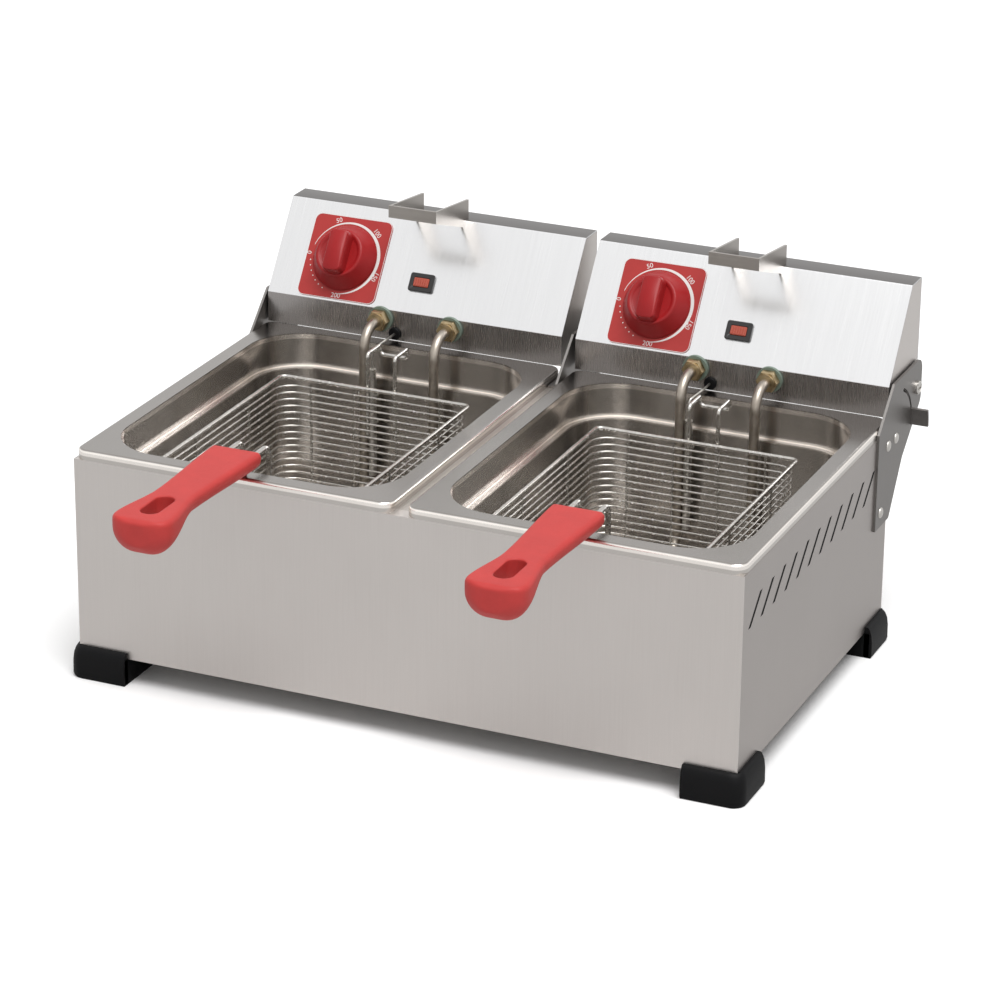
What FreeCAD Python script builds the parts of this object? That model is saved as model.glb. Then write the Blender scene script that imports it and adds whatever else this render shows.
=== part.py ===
import FreeCAD
import Part
import Sketcher
import math
import os
import re

from FreeCAD import Placement, Rotation, Vector

# Twin-tank table-top deep fryer, in millimetres, +Z up.
# Pieces are drawn from the cabinet's front face (y = 0) and bottom edge (z = 0),
# then moved so that the origin is on the floor, in the middle of the whole object.

doc = FreeCAD.newDocument("deep_fryer")
sheet = doc.addObject("Spreadsheet::Sheet", "sizes")

SIZES = [
    # Cabinet
    ("body_width", 540),
    ("rear_gap", 2),
    ("under_tank", 16.5),
    ("sheet_gauge", 1),
    ("panel_fold", 12),
    ("floor_gap", 21),
    ("slot_count", 11),
    ("slot_pitch", 25.3),
    ("slot_start", 12),
    ("slot_drop", 45.5),
    ("slot_rise", 21.4),
    ("slot_lean", 22.7),
    ("slot_width", 5.4),
    ("rail_width", 18),
    ("rail_depth", 20),
    # Corner feet
    ("foot_length", 46),
    ("foot_wall", 4.5),
    ("foot_lip", 5),
    ("foot_round", 12),
    ("foot_gap", 0.1),
    ("foot_screw_height", 2.5),
    ("foot_screw_head", 4.5),
    # Oil tanks
    ("tank_gap", 11.4),
    ("tank_edge_gap", 0.3),
    ("tank_length", 325),
    ("tank_depth", 150),
    ("tank_gauge", 1),
    ("tank_lip", 8),
    ("tank_flange", 14),
    ("shoulder_depth", 28),
    ("shoulder_step", 5),
    ("tank_draw", 8),
    ("flange_round", 10),
    ("lip_bend", 2.5),
    ("well_round", 46),
    ("floor_round", 14),
    # Control heads
    ("seat_gap", 0.3),
    ("fold_gap", 0.2),
    ("head_side_gap", 1.5),
    ("centre_gap", 12),
    ("head_overlap", 2),
    ("head_depth", 72),
    ("head_height", 94),
    ("head_face", 25.5),
    ("slope_run", 48),
    # Head pivots
    ("pivot_inset", 61),
    ("pivot_rise", 6),
    ("pivot_radius", 2.5),
    ("pivot_head_radius", 5.5),
    ("pivot_head_height", 3),
    ("pivot_slot", 1.2),
    ("boss_radius", 4.2),
    ("boss_length", 9),
    ("pin_reach", 6),
    ("running_gap", 0.05),
    # Side and centre brackets
    ("bracket_gauge", 2),
    ("bracket_lap", 33),
    ("bracket_drop", 76),
    ("bracket_shoulder", 4),
    ("bracket_crest", 21.5),
    ("bracket_eye", 13),
    ("bracket_eye_drop", 14),
    ("bracket_heel_inset", 29),
    ("bracket_heel_drop", 48.5),
    ("bracket_round", 10),
    ("centre_offset", 1),
    ("centre_foot", 6),
    ("centre_drop", 30),
    ("rivet_radius", 2.4),
    ("rivet_head", 4.4),
    ("rivet_dome", 1.8),
    ("rivet_inset", 12),
    # Lock levers
    ("lever_back", 10),
    ("lever_drop", 26.5),
    ("lever_gauge", 1),
    ("lever_side_gap", 0.25),
    ("lever_hub", 8),
    ("tab_radius", 38),
    ("tab_gauge", 2),
    ("tab_reach", 14),
    ("tab_angle", 9),
    ("tab_span", 22),
    ("lever_travel", 49),
    ("slot_gap", 0.4),
    ("slot_spare", 1),
    ("stud_radius", 2.4),
    ("stud_arm", 30),
    ("stud_angle", 64),
    ("claw_gap", 0.5),
    # Heating elements
    ("tube_radius", 4),
    ("element_rise", 17.5),
    ("element_offset", 3),
    ("leg_spacing", 62),
    ("leg_gap", 21),
    ("element_clear", 20.5),
    ("element_front_gap", 39),
    ("element_rear_gap", 54),
    ("loop_pitch", 41.4),
    ("loop_flat", 0.4),
    ("top_bend", 18),
    ("low_bend", 16),
    ("flare_start", 28),
    ("flare_run", 34),
    ("element_tail", 22),
    ("terminal_radius", 1.6),
    ("terminal_length", 12),
    ("bore_gap", 0.05),
    ("nut_flats", 16),
    ("nut_height", 8),
    ("gasket_radius", 10.5),
    ("gasket_gauge", 3),
    # Thermostat, bulb and grommet
    ("bulb_radius", 3.2),
    ("bulb_length", 92),
    ("bulb_drop", 14.5),
    ("bulb_gap", 0.2),
    ("capillary_radius", 1),
    ("capillary_bend", 4),
    ("grommet_offset", 15.5),
    ("grommet_rise", 6.2),
    ("grommet_radius", 5.2),
    ("grommet_neck", 3.4),
    ("grommet_gauge", 2.5),
    ("capillary_tail", 12),
    ("tie_count", 3),
    ("tie_height", 1.4),
    ("tie_gauge", 0.8),
    ("thermostat_width", 36),
    ("thermostat_length", 34),
    ("thermostat_depth", 26),
    ("bush_radius", 5),
    # Dial, knob and lamp
    ("dial_offset", 70.5),
    ("dial_level", 37),
    ("dial_width", 70),
    ("dial_length", 71),
    ("dial_gauge", 1),
    ("dial_round", 6),
    ("dial_hole", 6),
    ("knob_radius", 28),
    ("knob_gap", 0.8),
    ("skirt_height", 14),
    ("skirt_draft", 8),
    ("dish_radius", 16),
    ("dish_depth", 1.5),
    ("grip_width", 19),
    ("grip_length", 38),
    ("grip_height", 23),
    ("grip_round", 6),
    ("grip_draft", 2),
    ("stem_radius", 3),
    ("stem_depth", 12),
    ("lamp_offset", 1.7),
    ("lamp_level", 26),
    ("bezel_width", 21.4),
    ("bezel_length", 15.6),
    ("bezel_height", 2.5),
    ("bezel_rim", 4),
    ("lamp_depth", 20),
    ("lens_height", 3.4),
    ("lens_depth", 1.2),
    # Basket hanger
    ("hanger_offset", 3.3),
    ("hanger_width", 42),
    ("hanger_gauge", 2),
    ("hanger_reach", 56),
    ("hanger_rise", 13),
    ("hanger_bar", 10),
    ("hanger_lap", 8),
    ("hanger_tip", 15.5),
    ("hanger_seat", 3.5),
    # Terminal block and cord gland
    ("block_width", 46),
    ("block_depth", 18),
    ("block_height", 16),
    ("block_offset", 30),
    ("gland_offset", 70),
    ("gland_rise", 30),
    ("gland_radius", 11),
    ("gland_length", 14),
    ("gland_bore", 4),
    ("gland_nut", 5),
    ("gland_neck", 8),
    # Baskets
    ("basket_side_gap", 34),
    ("basket_front_gap", 32),
    ("basket_back_gap", 57.5),
    ("basket_rim_drop", 17.5),
    ("basket_corner", 7),
    ("rim_corner", 5),
    ("wire_gauge", 2),
    ("rim_radius", 1.7),
    ("wall_rows", 18),
    ("side_columns", 3),
    ("end_columns", 5),
    ("floor_rows", 14),
    ("floor_columns", 12),
    ("hook_offset", 4),
    ("hook_width", 24),
    ("hook_rise", 29),
    ("hook_reach", 24),
    ("hook_drop", 8),
    ("hook_radius", 1.6),
    ("hook_bend", 3.5),
    ("hook_leg", 40),
    ("tang_width", 22),
    ("tang_radius", 2.2),
    ("tang_drop", 40),
    ("tang_bend", 8),
    ("tang_grip", 30),
    # Handles
    ("handle_reach", 145),
    ("handle_root", 12),
    ("handle_top", 18),
    ("root_width", 42),
    ("root_thickness", 14),
    ("waist_width", 34),
    ("grip_end_width", 47),
    ("grip_end_thickness", 29),
    ("crown_round", 3),
    ("nose_round", 16),
    ("nose_bulge", 4),
    ("waist_back", 62),
    ("flare_back", 12),
    ("lug_width", 18),
    ("lug_length", 10),
    ("hang_hole_width", 15),
    ("hang_hole_length", 36),
    ("hang_hole_inset", 16),
]

for row, (alias, number) in enumerate(SIZES, start=1):
    sheet.set(f"A{row}", str(number))
    sheet.setAlias(f"A{row}", alias)
doc.recompute()

# Places that follow from the sizes above
DERIVED = {
    "body_depth": "tank_length + rear_gap",
    "body_height": "tank_depth + under_tank - tank_lip",
    "slot_level": "body_height - slot_drop",
    "half_body": "body_width / 2",
    "tank_width": "half_body - tank_gap / 2 - tank_edge_gap",
    "tank_middle": "tank_gap / 2 + tank_width / 2",
    "flange_top": "body_height + tank_lip",
    "tank_floor": "flange_top - tank_depth + tank_gauge",
    "head_front": "tank_length - head_overlap",
    "head_back": "head_front + head_depth",
    "head_bottom": "flange_top + seat_gap",
    "head_top": "head_bottom + head_height",
    "face_top": "head_bottom + head_face",
    "head_outer": "half_body - head_side_gap",
    "head_inner": "centre_gap / 2",
    "head_middle": "(head_outer + head_inner) / 2",
    "slope_rise": "head_top - face_top",
    "slope_pitch": "slope_rise / slope_run",
    "slope_secant": "sqrt(1 + slope_pitch ^ 2)",
    "cover_inset": "sheet_gauge + fold_gap",
    "pivot_y": "head_front + pivot_inset",
    "pivot_z": "flange_top + pivot_rise",
    "lever_y": "body_depth + lever_back",
    "lever_z": "pivot_z - lever_drop",
    "bracket_front": "body_depth - bracket_lap",
    "bracket_foot": "body_height - bracket_drop",
    "element_level": "tank_floor + element_clear + tube_radius",
    "bulb_top": "flange_top - bulb_drop",
    "leg_y": "tank_length - tank_flange - leg_gap",
    "nut_z": "flange_top + element_rise",
    "basket_width": "tank_width - 2 * tank_flange - 2 * basket_side_gap",
    "basket_front": "tank_flange + basket_front_gap",
    "basket_back": "tank_length - tank_flange - basket_back_gap",
    "basket_length": "basket_back - basket_front",
    "basket_floor": "element_level + tube_radius + seat_gap",
    "rim_z": "flange_top - basket_rim_drop",
    "handle_top_z": "flange_top + handle_top",
    "front_y": "(handle_reach - head_back - gland_length) / 2",
}

ALIASES = {alias for alias, number in SIZES}
NODES = []
SIDES = (("left", -1), ("right", 1))
# Two places count as one within this distance, and a bent bar's volume may differ by this share
CLOSE = 0.001
VOLUME_SHARE = 0.02


def formula(text):
    """Write out a size formula with every name as the sheet's own cell."""
    def name_or_text(match):
        word = match.group(0)
        if word in ALIASES:
            return "sizes." + word
        if word in DERIVED:
            return "(" + formula(DERIVED[word]) + ")"
        return word
    return re.sub(r"[a-z_][a-z_0-9]*", name_or_text, text)


def value(text):
    """The number that a size formula gives."""
    result = sheet.evalExpression(formula(text))
    return float(getattr(result, "Value", result))


SLOPE_ANGLE = math.degrees(math.atan(value("slope_pitch")))
FRAME = Vector(0, value("front_y"), value("floor_gap"))


# Helpers that draw with features bound to the sheet

def bind_base(item, x="0", y="0", z="0"):
    item.setExpression(".Placement.Base.x", formula(x))
    item.setExpression(".Placement.Base.y", formula("front_y + " + y))
    item.setExpression(".Placement.Base.z", formula("floor_gap + " + z))


def new_body(label):
    body = doc.addObject("PartDesign::Body", label)
    body.Label = label
    bind_base(body)
    NODES.append(body)
    return body


def new_sketch(body, plane, level, loops):
    """A sketch of closed polygons and circles, every point bound to the sheet."""
    item = body.newObject("Sketcher::SketchObject", "outline")
    support = [feature for feature in body.Origin.OriginFeatures if feature.Role == plane][0]
    item.AttachmentSupport = [(support, "")]
    item.MapMode = "FlatFace"
    item.setExpression(".AttachmentOffset.Base.z", formula(level))
    for loop in loops:
        first = item.GeometryCount
        if isinstance(loop[0], str):
            centre = Vector(value(loop[0]), value(loop[1]), 0)
            item.addGeometry(Part.Circle(centre, Vector(0, 0, 1), value(loop[2])), False)
            place = [("DistanceX", 3, centre.x, loop[0]), ("DistanceY", 3, centre.y, loop[1])]
            for kind, point, number, text in place:
                index = item.addConstraint(Sketcher.Constraint(kind, -1, 1, first, point, number))
                item.setExpression(f"Constraints[{index}]", formula(text))
            index = item.addConstraint(Sketcher.Constraint("Radius", first, value(loop[2])))
            item.setExpression(f"Constraints[{index}]", formula(loop[2]))
            continue
        points = [Vector(value(a), value(b), 0) for a, b in loop]
        count = len(points)
        for i in range(count):
            item.addGeometry(Part.LineSegment(points[i], points[(i + 1) % count]), False)
        for i in range(count):
            following = first + (i + 1) % count
            item.addConstraint(Sketcher.Constraint("Coincident", first + i, 2, following, 1))
        for i, (a, b) in enumerate(loop):
            for kind, number, text in (("DistanceX", points[i].x, a), ("DistanceY", points[i].y, b)):
                index = item.addConstraint(Sketcher.Constraint(kind, -1, 1, first + i, 1, number))
                item.setExpression(f"Constraints[{index}]", formula(text))
    return item


def pad(body, plane, level, loops, length):
    feature = body.newObject("PartDesign::Pad", "pad")
    feature.Profile = new_sketch(body, plane, level, loops)
    feature.setExpression("Length", formula(length))
    return feature


def pocket(body, plane, level, loops):
    """Cut loops right through the body, both ways from the sketch."""
    feature = body.newObject("PartDesign::Pocket", "pocket")
    feature.Profile = new_sketch(body, plane, level, loops)
    feature.SideType = "Symmetric"
    feature.Type = "ThroughAll"
    return feature


def round_corners(body, base, spots, radius):
    """Round the X-direction edges of a plate that pass through the given (y, z) spots."""
    doc.recompute()
    wanted = [(value(a), value(b)) for a, b in spots]
    names = []
    for number, edge in enumerate(base.Shape.Edges, start=1):
        start, end = edge.Vertexes[0].Point, edge.Vertexes[-1].Point
        if abs(start.y - end.y) + abs(start.z - end.z) > CLOSE:
            continue
        if any(math.hypot(start.y - y, start.z - z) < CLOSE for y, z in wanted):
            names.append(f"Edge{number}")
    feature = body.newObject("PartDesign::Fillet", "round")
    feature.Base = (base, names)
    feature.setExpression("Radius", formula(radius))
    return feature


def box(label, x, y, z, width, depth, height):
    item = doc.addObject("Part::Box", label)
    item.setExpression("Length", formula(width))
    item.setExpression("Width", formula(depth))
    item.setExpression("Height", formula(height))
    bind_base(item, x, y, z)
    return item


def cylinder(label, axis, x, y, z, radius, length):
    """A cylinder from (x, y, z) along +X, +Y or +Z."""
    item = doc.addObject("Part::Cylinder", label)
    item.setExpression("Radius", formula(radius))
    item.setExpression("Height", formula(length))
    turns = {"x": Rotation(Vector(0, 1, 0), 90), "y": Rotation(Vector(1, 0, 0), -90), "z": Rotation()}
    item.Placement.Rotation = turns[axis]
    bind_base(item, x, y, z)
    return item


def cut(label, base, tools):
    item = doc.addObject("Part::Cut", label)
    item.Base = base
    if len(tools) == 1:
        item.Tool = tools[0]
    else:
        item.Tool = doc.addObject("Part::MultiFuse", label + "_tool")
        item.Tool.Shapes = tools
    item.Label = label
    return item


def keep(item, label):
    item.Label = label
    NODES.append(item)
    return item


def group(label, items):
    item = doc.addObject("Part::Compound", label)
    item.Links = items
    return keep(item, label)


# Helpers that draw with shapes, for bent wires and pressed or moulded forms

def rounded_wire(corners):
    """A closed wire through (point, radius) corners, with an arc at each rounded one."""
    edges = []
    count = len(corners)
    leave = []
    arrive = []
    arcs = []
    for i, (point, radius) in enumerate(corners):
        before = (corners[i - 1][0] - point).normalize()
        after = (corners[(i + 1) % count][0] - point).normalize()
        if radius <= 0:
            arrive.append(point)
            leave.append(point)
            arcs.append(None)
            continue
        half = before.getAngle(after) / 2
        reach = radius / math.tan(half)
        middle = (before + after).normalize()
        centre = point + middle * (radius / math.sin(half))
        arrive.append(point + before * reach)
        leave.append(point + after * reach)
        arcs.append(centre - middle * radius)
    for i in range(count):
        if arcs[i] is not None:
            edges.append(Part.Arc(arrive[i], arcs[i], leave[i]).toShape())
        start, end = leave[i], arrive[(i + 1) % count]
        if start.distanceToPoint(end) > CLOSE:
            edges.append(Part.LineSegment(start, end).toShape())
    return Part.Wire(Part.__sortEdges__(edges))


def rectangle(width, length, radius, middle_x, middle_y, z):
    a, b = width / 2, length / 2
    corners = ((-a, -b), (a, -b), (a, b), (-a, b))
    return rounded_wire([(Vector(middle_x + x, middle_y + y, z), radius) for x, y in corners])


def prism(wire, direction):
    return Part.Face(wire).extrude(direction)


def tube(points, bends, radius):
    """A round bar along straight runs joined by tangent arcs; bends holds the inner points' radii."""
    edges = []
    start = points[0]
    for i in range(1, len(points) - 1):
        point = points[i]
        before = (points[i - 1] - point).normalize()
        after = (points[i + 1] - point).normalize()
        half = before.getAngle(after) / 2
        bend = bends[i - 1]
        reach = bend / math.tan(half)
        middle = (before + after).normalize()
        arc_middle = point + middle * (bend / math.sin(half) - bend)
        arrive = point + before * reach
        leave = point + after * reach
        if start.distanceToPoint(arrive) > CLOSE:
            edges.append(Part.LineSegment(start, arrive).toShape())
        edges.append(Part.Arc(arrive, arc_middle, leave).toShape())
        start = leave
    edges.append(Part.LineSegment(start, points[-1]).toShape())
    path = Part.Wire(edges)
    heading = (points[1] - points[0]).normalize()
    profile = Part.Wire(Part.Circle(points[0], heading, radius).toShape())
    bar = path.makePipeShell([profile], True, False)
    expected = math.pi * radius ** 2 * path.Length
    if abs(bar.Volume - expected) > VOLUME_SHARE * expected:
        raise ValueError("a bent bar's volume differs from its section times its length")
    return bar


def grille(width, height, columns, rows, wire):
    """A flat wire grille in the XZ plane, one face with a gap between every two wires."""
    def pane(x0, z0, x1, z1):
        points = [Vector(x0, 0, z0), Vector(x1, 0, z0), Vector(x1, 0, z1), Vector(x0, 0, z1)]
        return Part.makePolygon(points + points[:1])
    column = (width - wire) / columns
    pitch = (height - wire) / rows
    wires = [pane(0, 0, width, height)]
    for i in range(columns):
        for j in range(rows):
            x, z = i * column, j * pitch
            wires.append(pane(x + wire, z + wire, x + column, z + pitch))
    face = Part.makeFace(wires, "Part::FaceMakerBullseye")
    return face.extrude(Vector(0, wire, 0))


def shaped(label, shape):
    item = doc.addObject("Part::Feature", label)
    item.Shape = shape
    item.Placement = Placement(FRAME, Rotation())
    return keep(item, label)


def slope_tool(label, shape, middle_x):
    """Seat a shape on a head's sloping panel: X across, Y up the slope, Z out of it."""
    item = doc.addObject("Part::Feature", label)
    item.Shape = shape
    foot = Vector(middle_x, value("head_front"), value("face_top")) + FRAME
    item.Placement = Placement(foot, Rotation(Vector(1, 0, 0), SLOPE_ANGLE))
    return item


def on_slope(label, shape, middle_x):
    return keep(slope_tool(label, shape, middle_x), label)


def moved(shape, *offset):
    return shape.transformed(Placement(Vector(*offset), Rotation()).toMatrix(), True)


# Front and rear panels: sheet steel with folds at the top and bottom

def end_panel(label, front):
    def y(inward):
        return inward if front else f"body_depth - ({inward})"
    body = new_body(label)
    plate = [
        (y("0"), "0"),
        (y("sheet_gauge"), "0"),
        (y("sheet_gauge"), "body_height"),
        (y("0"), "body_height"),
    ]
    pad(body, "YZ_Plane", "-half_body", [plate], "body_width")
    fold = [
        ("sheet_gauge - half_body", y("sheet_gauge / 2")),
        ("half_body - sheet_gauge", y("sheet_gauge / 2")),
        ("half_body - sheet_gauge", y("panel_fold")),
        ("sheet_gauge - half_body", y("panel_fold")),
    ]
    pad(body, "XY_Plane", "0", [fold], "sheet_gauge")
    pad(body, "XY_Plane", "body_height - sheet_gauge", [fold], "sheet_gauge")


end_panel("front_panel", True)
end_panel("rear_panel", False)


# Side panels: the same sheet, folded in at the top and bottom, with a row of slanted vent slots

def side_panel(side, sign):
    body = new_body("side_panel_" + side)
    level = "half_body - sheet_gauge" if sign > 0 else "-half_body"
    plate = [
        ("sheet_gauge", "0"),
        ("body_depth - sheet_gauge", "0"),
        ("body_depth - sheet_gauge", "body_height"),
        ("sheet_gauge", "body_height"),
    ]
    pad(body, "YZ_Plane", level, [plate], "sheet_gauge")
    outer = "half_body - sheet_gauge / 2" if sign > 0 else "-(half_body - sheet_gauge / 2)"
    inner = "half_body - panel_fold" if sign > 0 else "-(half_body - panel_fold)"
    fold = [
        (outer, "panel_fold"),
        (inner, "panel_fold"),
        (inner, "body_depth - panel_fold"),
        (outer, "body_depth - panel_fold"),
    ]
    pad(body, "XY_Plane", "0", [fold], "sheet_gauge")
    pad(body, "XY_Plane", "body_height - sheet_gauge", [fold], "sheet_gauge")
    slot = [
        ("slot_start", "slot_level"),
        ("slot_start + slot_width", "slot_level"),
        ("slot_start + slot_lean + slot_width", "slot_level + slot_rise"),
        ("slot_start + slot_lean", "slot_level + slot_rise"),
    ]
    opening = pocket(body, "YZ_Plane", level, [slot])
    row = body.newObject("PartDesign::LinearPattern", "slot_row")
    row.Originals = [opening]
    row.Direction = ([feature for feature in body.Origin.OriginFeatures if feature.Role == "Y_Axis"][0], [""])
    row.setExpression("Length", formula("slot_pitch * (slot_count - 1)"))
    row.setExpression("Occurrences", formula("slot_count"))
    body.Tip = row


for side, sign in SIDES:
    side_panel(side, sign)

# Base plate, resting on the panels' lower folds
base_plate = box("base_plate", "sheet_gauge - half_body", "sheet_gauge", "sheet_gauge",
                 "body_width - 2 * sheet_gauge", "body_depth - 2 * sheet_gauge", "sheet_gauge")
keep(base_plate, "base_plate")

# Centre rail: an inverted channel that carries the tanks' inner edges
rail = new_body("centre_rail")
rail_profile = [
    ("-rail_width / 2", "body_height - rail_depth"),
    ("sheet_gauge - rail_width / 2", "body_height - rail_depth"),
    ("sheet_gauge - rail_width / 2", "body_height - sheet_gauge"),
    ("rail_width / 2 - sheet_gauge", "body_height - sheet_gauge"),
    ("rail_width / 2 - sheet_gauge", "body_height - rail_depth"),
    ("rail_width / 2", "body_height - rail_depth"),
    ("rail_width / 2", "body_height"),
    ("-rail_width / 2", "body_height"),
]
pad(rail, "XZ_Plane", "panel_fold - body_depth", [rail_profile], "body_depth - 2 * panel_fold")


# Corner feet: moulded cups that wrap the cabinet's lower corners

def corner_foot(end, side, sign):
    name = f"foot_{end}_{side}"
    front = end == "front"
    x_block = "half_body + foot_wall - foot_length" if sign > 0 else "-(half_body + foot_wall)"
    x_corner = "half_body + foot_gap - foot_length" if sign > 0 else "-(half_body + foot_gap)"
    y_block = "-foot_wall" if front else "body_depth + foot_wall - foot_length"
    y_corner = "-foot_gap" if front else "body_depth + foot_gap - foot_length"
    block = box(name + "_block", x_block, y_block, "-floor_gap",
                "foot_length", "foot_length", "floor_gap + foot_lip")
    corner = box(name + "_corner", x_corner, y_corner, "0", "foot_length", "foot_length", "2 * foot_lip")
    doc.recompute()
    outer_x = value("half_body + foot_wall") * sign
    outer_y = value("-foot_wall" if front else "body_depth + foot_wall") + FRAME.y
    edges = []
    for number, edge in enumerate(block.Shape.Edges, start=1):
        ends = [vertex.Point for vertex in edge.Vertexes]
        if all(abs(p.x - outer_x) < CLOSE and abs(p.y - outer_y) < CLOSE for p in ends):
            edges.append((number, value("foot_round"), value("foot_round")))
    rounded = doc.addObject("Part::Fillet", name + "_round")
    rounded.Base = block
    rounded.Edges = edges
    keep(cut(name, rounded, [corner]), name)


for end in ("front", "rear"):
    for side, sign in SIDES:
        corner_foot(end, side, sign)

# Foot screws: heads on the base plate, one above each foot
foot_screws = []
for sign in (-1, 1):
    for y in ("foot_length / 2", "body_depth - foot_length / 2"):
        x = f"{sign} * (half_body - foot_length / 2)"
        head = cylinder("screw_head", "z", x, y, "2 * sheet_gauge", "foot_screw_head", "foot_screw_height")
        foot_screws.append(head)
group("foot_screws", foot_screws)


# Oil tanks: pressed pans with a turned-down lip, a stacking shoulder and a drawn well

def oil_tank(side, sign):
    middle_x = sign * value("tank_middle")
    middle_y = value("tank_length / 2")
    width, length = value("tank_width"), value("tank_length")
    gauge, lip = value("tank_gauge"), value("tank_lip")
    low, top = value("body_height"), value("flange_top")
    open_width = width - 2 * value("tank_flange")
    open_length = length - 2 * value("tank_flange")
    step, draw = value("shoulder_step"), value("tank_draw")
    shoulder = top - value("shoulder_depth")
    bottom = top - value("tank_depth")
    corner = value("well_round")

    def slab(inset, z0, z1, radius, bend):
        wire = rectangle(width - 2 * inset, length - 2 * inset, radius, middle_x, middle_y, z0)
        solid = prism(wire, Vector(0, 0, z1 - z0))
        rim = [edge for edge in solid.Edges if all(abs(v.Z - z1) < CLOSE for v in edge.Vertexes)]
        return solid.makeFillet(bend, rim)

    def well(wall, z0, z1):
        wire = rectangle(open_width + 2 * wall, open_length + 2 * wall, corner + wall, middle_x, middle_y, z0)
        return prism(wire, Vector(0, 0, z1 - z0))

    def drawn(wall, z0, bend):
        upper = rectangle(open_width - 2 * step + 2 * wall, open_length - 2 * step + 2 * wall,
                          corner - step + wall, middle_x, middle_y, shoulder)
        inset = step + draw
        lower = rectangle(open_width - 2 * inset + 2 * wall, open_length - 2 * inset + 2 * wall,
                          corner - step + wall, middle_x, middle_y, z0)
        solid = Part.makeLoft([lower, upper], True, True)
        base = [edge for edge in solid.Edges if all(abs(v.Z - z0) < CLOSE for v in edge.Vertexes)]
        return solid.makeFillet(bend, base)

    flange = slab(0, low, top, value("flange_round"), value("lip_bend"))
    under = slab(gauge, low, top - gauge, value("flange_round") - gauge, value("lip_bend") - gauge)
    bend = value("floor_round")
    outside = flange.cut(under).fuse([well(gauge, shoulder - gauge, top), drawn(gauge, bottom, bend)])
    inside = well(0, shoulder, top + lip).fuse(drawn(0, bottom + gauge, bend - gauge))
    shaped("tank_" + side, outside.cut(inside).removeSplitter())


for side, sign in SIDES:
    oil_tank(side, sign)


# Side brackets: plates riveted to the cabinet's sides, which carry the heads behind it

def arc_slot(inner, outer, first, last, x0, x1):
    """A slot that follows a circle about the lever's pivot, between two angles."""
    centre = Vector(x0, value("lever_y"), value("lever_z"))

    def at(radius, angle):
        turn = math.radians(angle)
        return centre + Vector(0, radius * math.cos(turn), radius * math.sin(turn))
    middle = (first + last) / 2
    edges = [
        Part.Arc(at(outer, first), at(outer, middle), at(outer, last)).toShape(),
        Part.LineSegment(at(outer, last), at(inner, last)).toShape(),
        Part.Arc(at(inner, last), at(inner, middle), at(inner, first)).toShape(),
        Part.LineSegment(at(inner, first), at(outer, first)).toShape(),
    ]
    return prism(Part.Wire(edges), Vector(x1 - x0, 0, 0))


def bracket_outline():
    return [
        ("bracket_front", "bracket_foot"),
        ("body_depth", "bracket_foot"),
        ("pivot_y - bracket_heel_inset", "pivot_z - bracket_heel_drop"),
        ("pivot_y + bracket_eye", "pivot_z - bracket_eye_drop"),
        ("pivot_y + bracket_eye", "pivot_z + bracket_crest"),
        ("body_depth", "pivot_z + bracket_crest"),
        ("bracket_front", "body_height + bracket_shoulder"),
    ]


def rivet_spots():
    return [
        ("bracket_front + rivet_inset", "bracket_foot + rivet_inset"),
        ("bracket_front + 2 * rivet_inset", "lever_z"),
    ]


def side_bracket(side, sign):
    plate = doc.addObject("PartDesign::Body", "plate_" + side)
    bind_base(plate)
    level = "half_body" if sign > 0 else "-half_body - bracket_gauge"
    outline = bracket_outline()
    blank = pad(plate, "YZ_Plane", level, [outline], "bracket_gauge")
    rounded = [outline[2], outline[3], outline[4]]
    round_corners(plate, blank, rounded, "bracket_round")
    holes = [("pivot_y", "pivot_z", "pivot_radius + running_gap"), ("lever_y", "lever_z", "rivet_radius")]
    pocket(plate, "YZ_Plane", level, holes)
    slot = doc.addObject("Part::Feature", "slot_" + side)
    reach = value("half_body + 2 * bracket_gauge")
    half = value("tab_gauge / 2 + slot_gap")
    first = value("tab_angle - tab_span / 2 - slot_spare")
    last = value("tab_angle + tab_span / 2 + lever_travel + slot_spare")
    radius = value("tab_radius")
    start = value("half_body - bracket_gauge")
    x0, x1 = (start, reach) if sign > 0 else (-reach, -start)
    slot.Shape = arc_slot(radius - half, radius + half, first, last, x0, x1)
    slot.Placement = Placement(FRAME, Rotation())
    keep(cut("bracket_" + side, plate, [slot]), "bracket_" + side)


for side, sign in SIDES:
    side_bracket(side, sign)

# Centre bracket: a plate on a bent foot, standing on the centre rail between the heads
centre = new_body("centre_bracket")
centre_plate = [
    ("bracket_front", "body_height"),
    ("body_depth", "body_height"),
    ("body_depth", "body_height - centre_drop"),
    ("pivot_y", "pivot_z - centre_drop"),
    ("pivot_y + bracket_eye", "pivot_z - bracket_eye_drop"),
    ("pivot_y + bracket_eye", "pivot_z + bracket_crest"),
    ("body_depth", "pivot_z + bracket_crest"),
    ("bracket_front", "body_height + bracket_shoulder"),
]
centre_blank = pad(centre, "YZ_Plane", "centre_offset", [centre_plate], "bracket_gauge")
round_corners(centre, centre_blank, [centre_plate[4], centre_plate[5]], "bracket_round")
centre_foot = [
    ("centre_offset + bracket_gauge / 2", "bracket_front"),
    ("centre_offset + bracket_gauge / 2", "body_depth"),
    ("centre_offset - centre_foot", "body_depth"),
    ("centre_offset - centre_foot", "bracket_front"),
]
pad(centre, "XY_Plane", "body_height", [centre_foot], "bracket_gauge")
pocket(centre, "YZ_Plane", "centre_offset", [("pivot_y", "pivot_z", "pivot_radius")])

# Centre pivot pin: one pin through the centre bracket that both heads hang on
pin = cylinder("centre_pivot_pin", "x", "-(head_inner + pin_reach)", "pivot_y", "pivot_z",
               "pivot_radius", "2 * (head_inner + pin_reach)")
keep(pin, "centre_pivot_pin")

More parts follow.
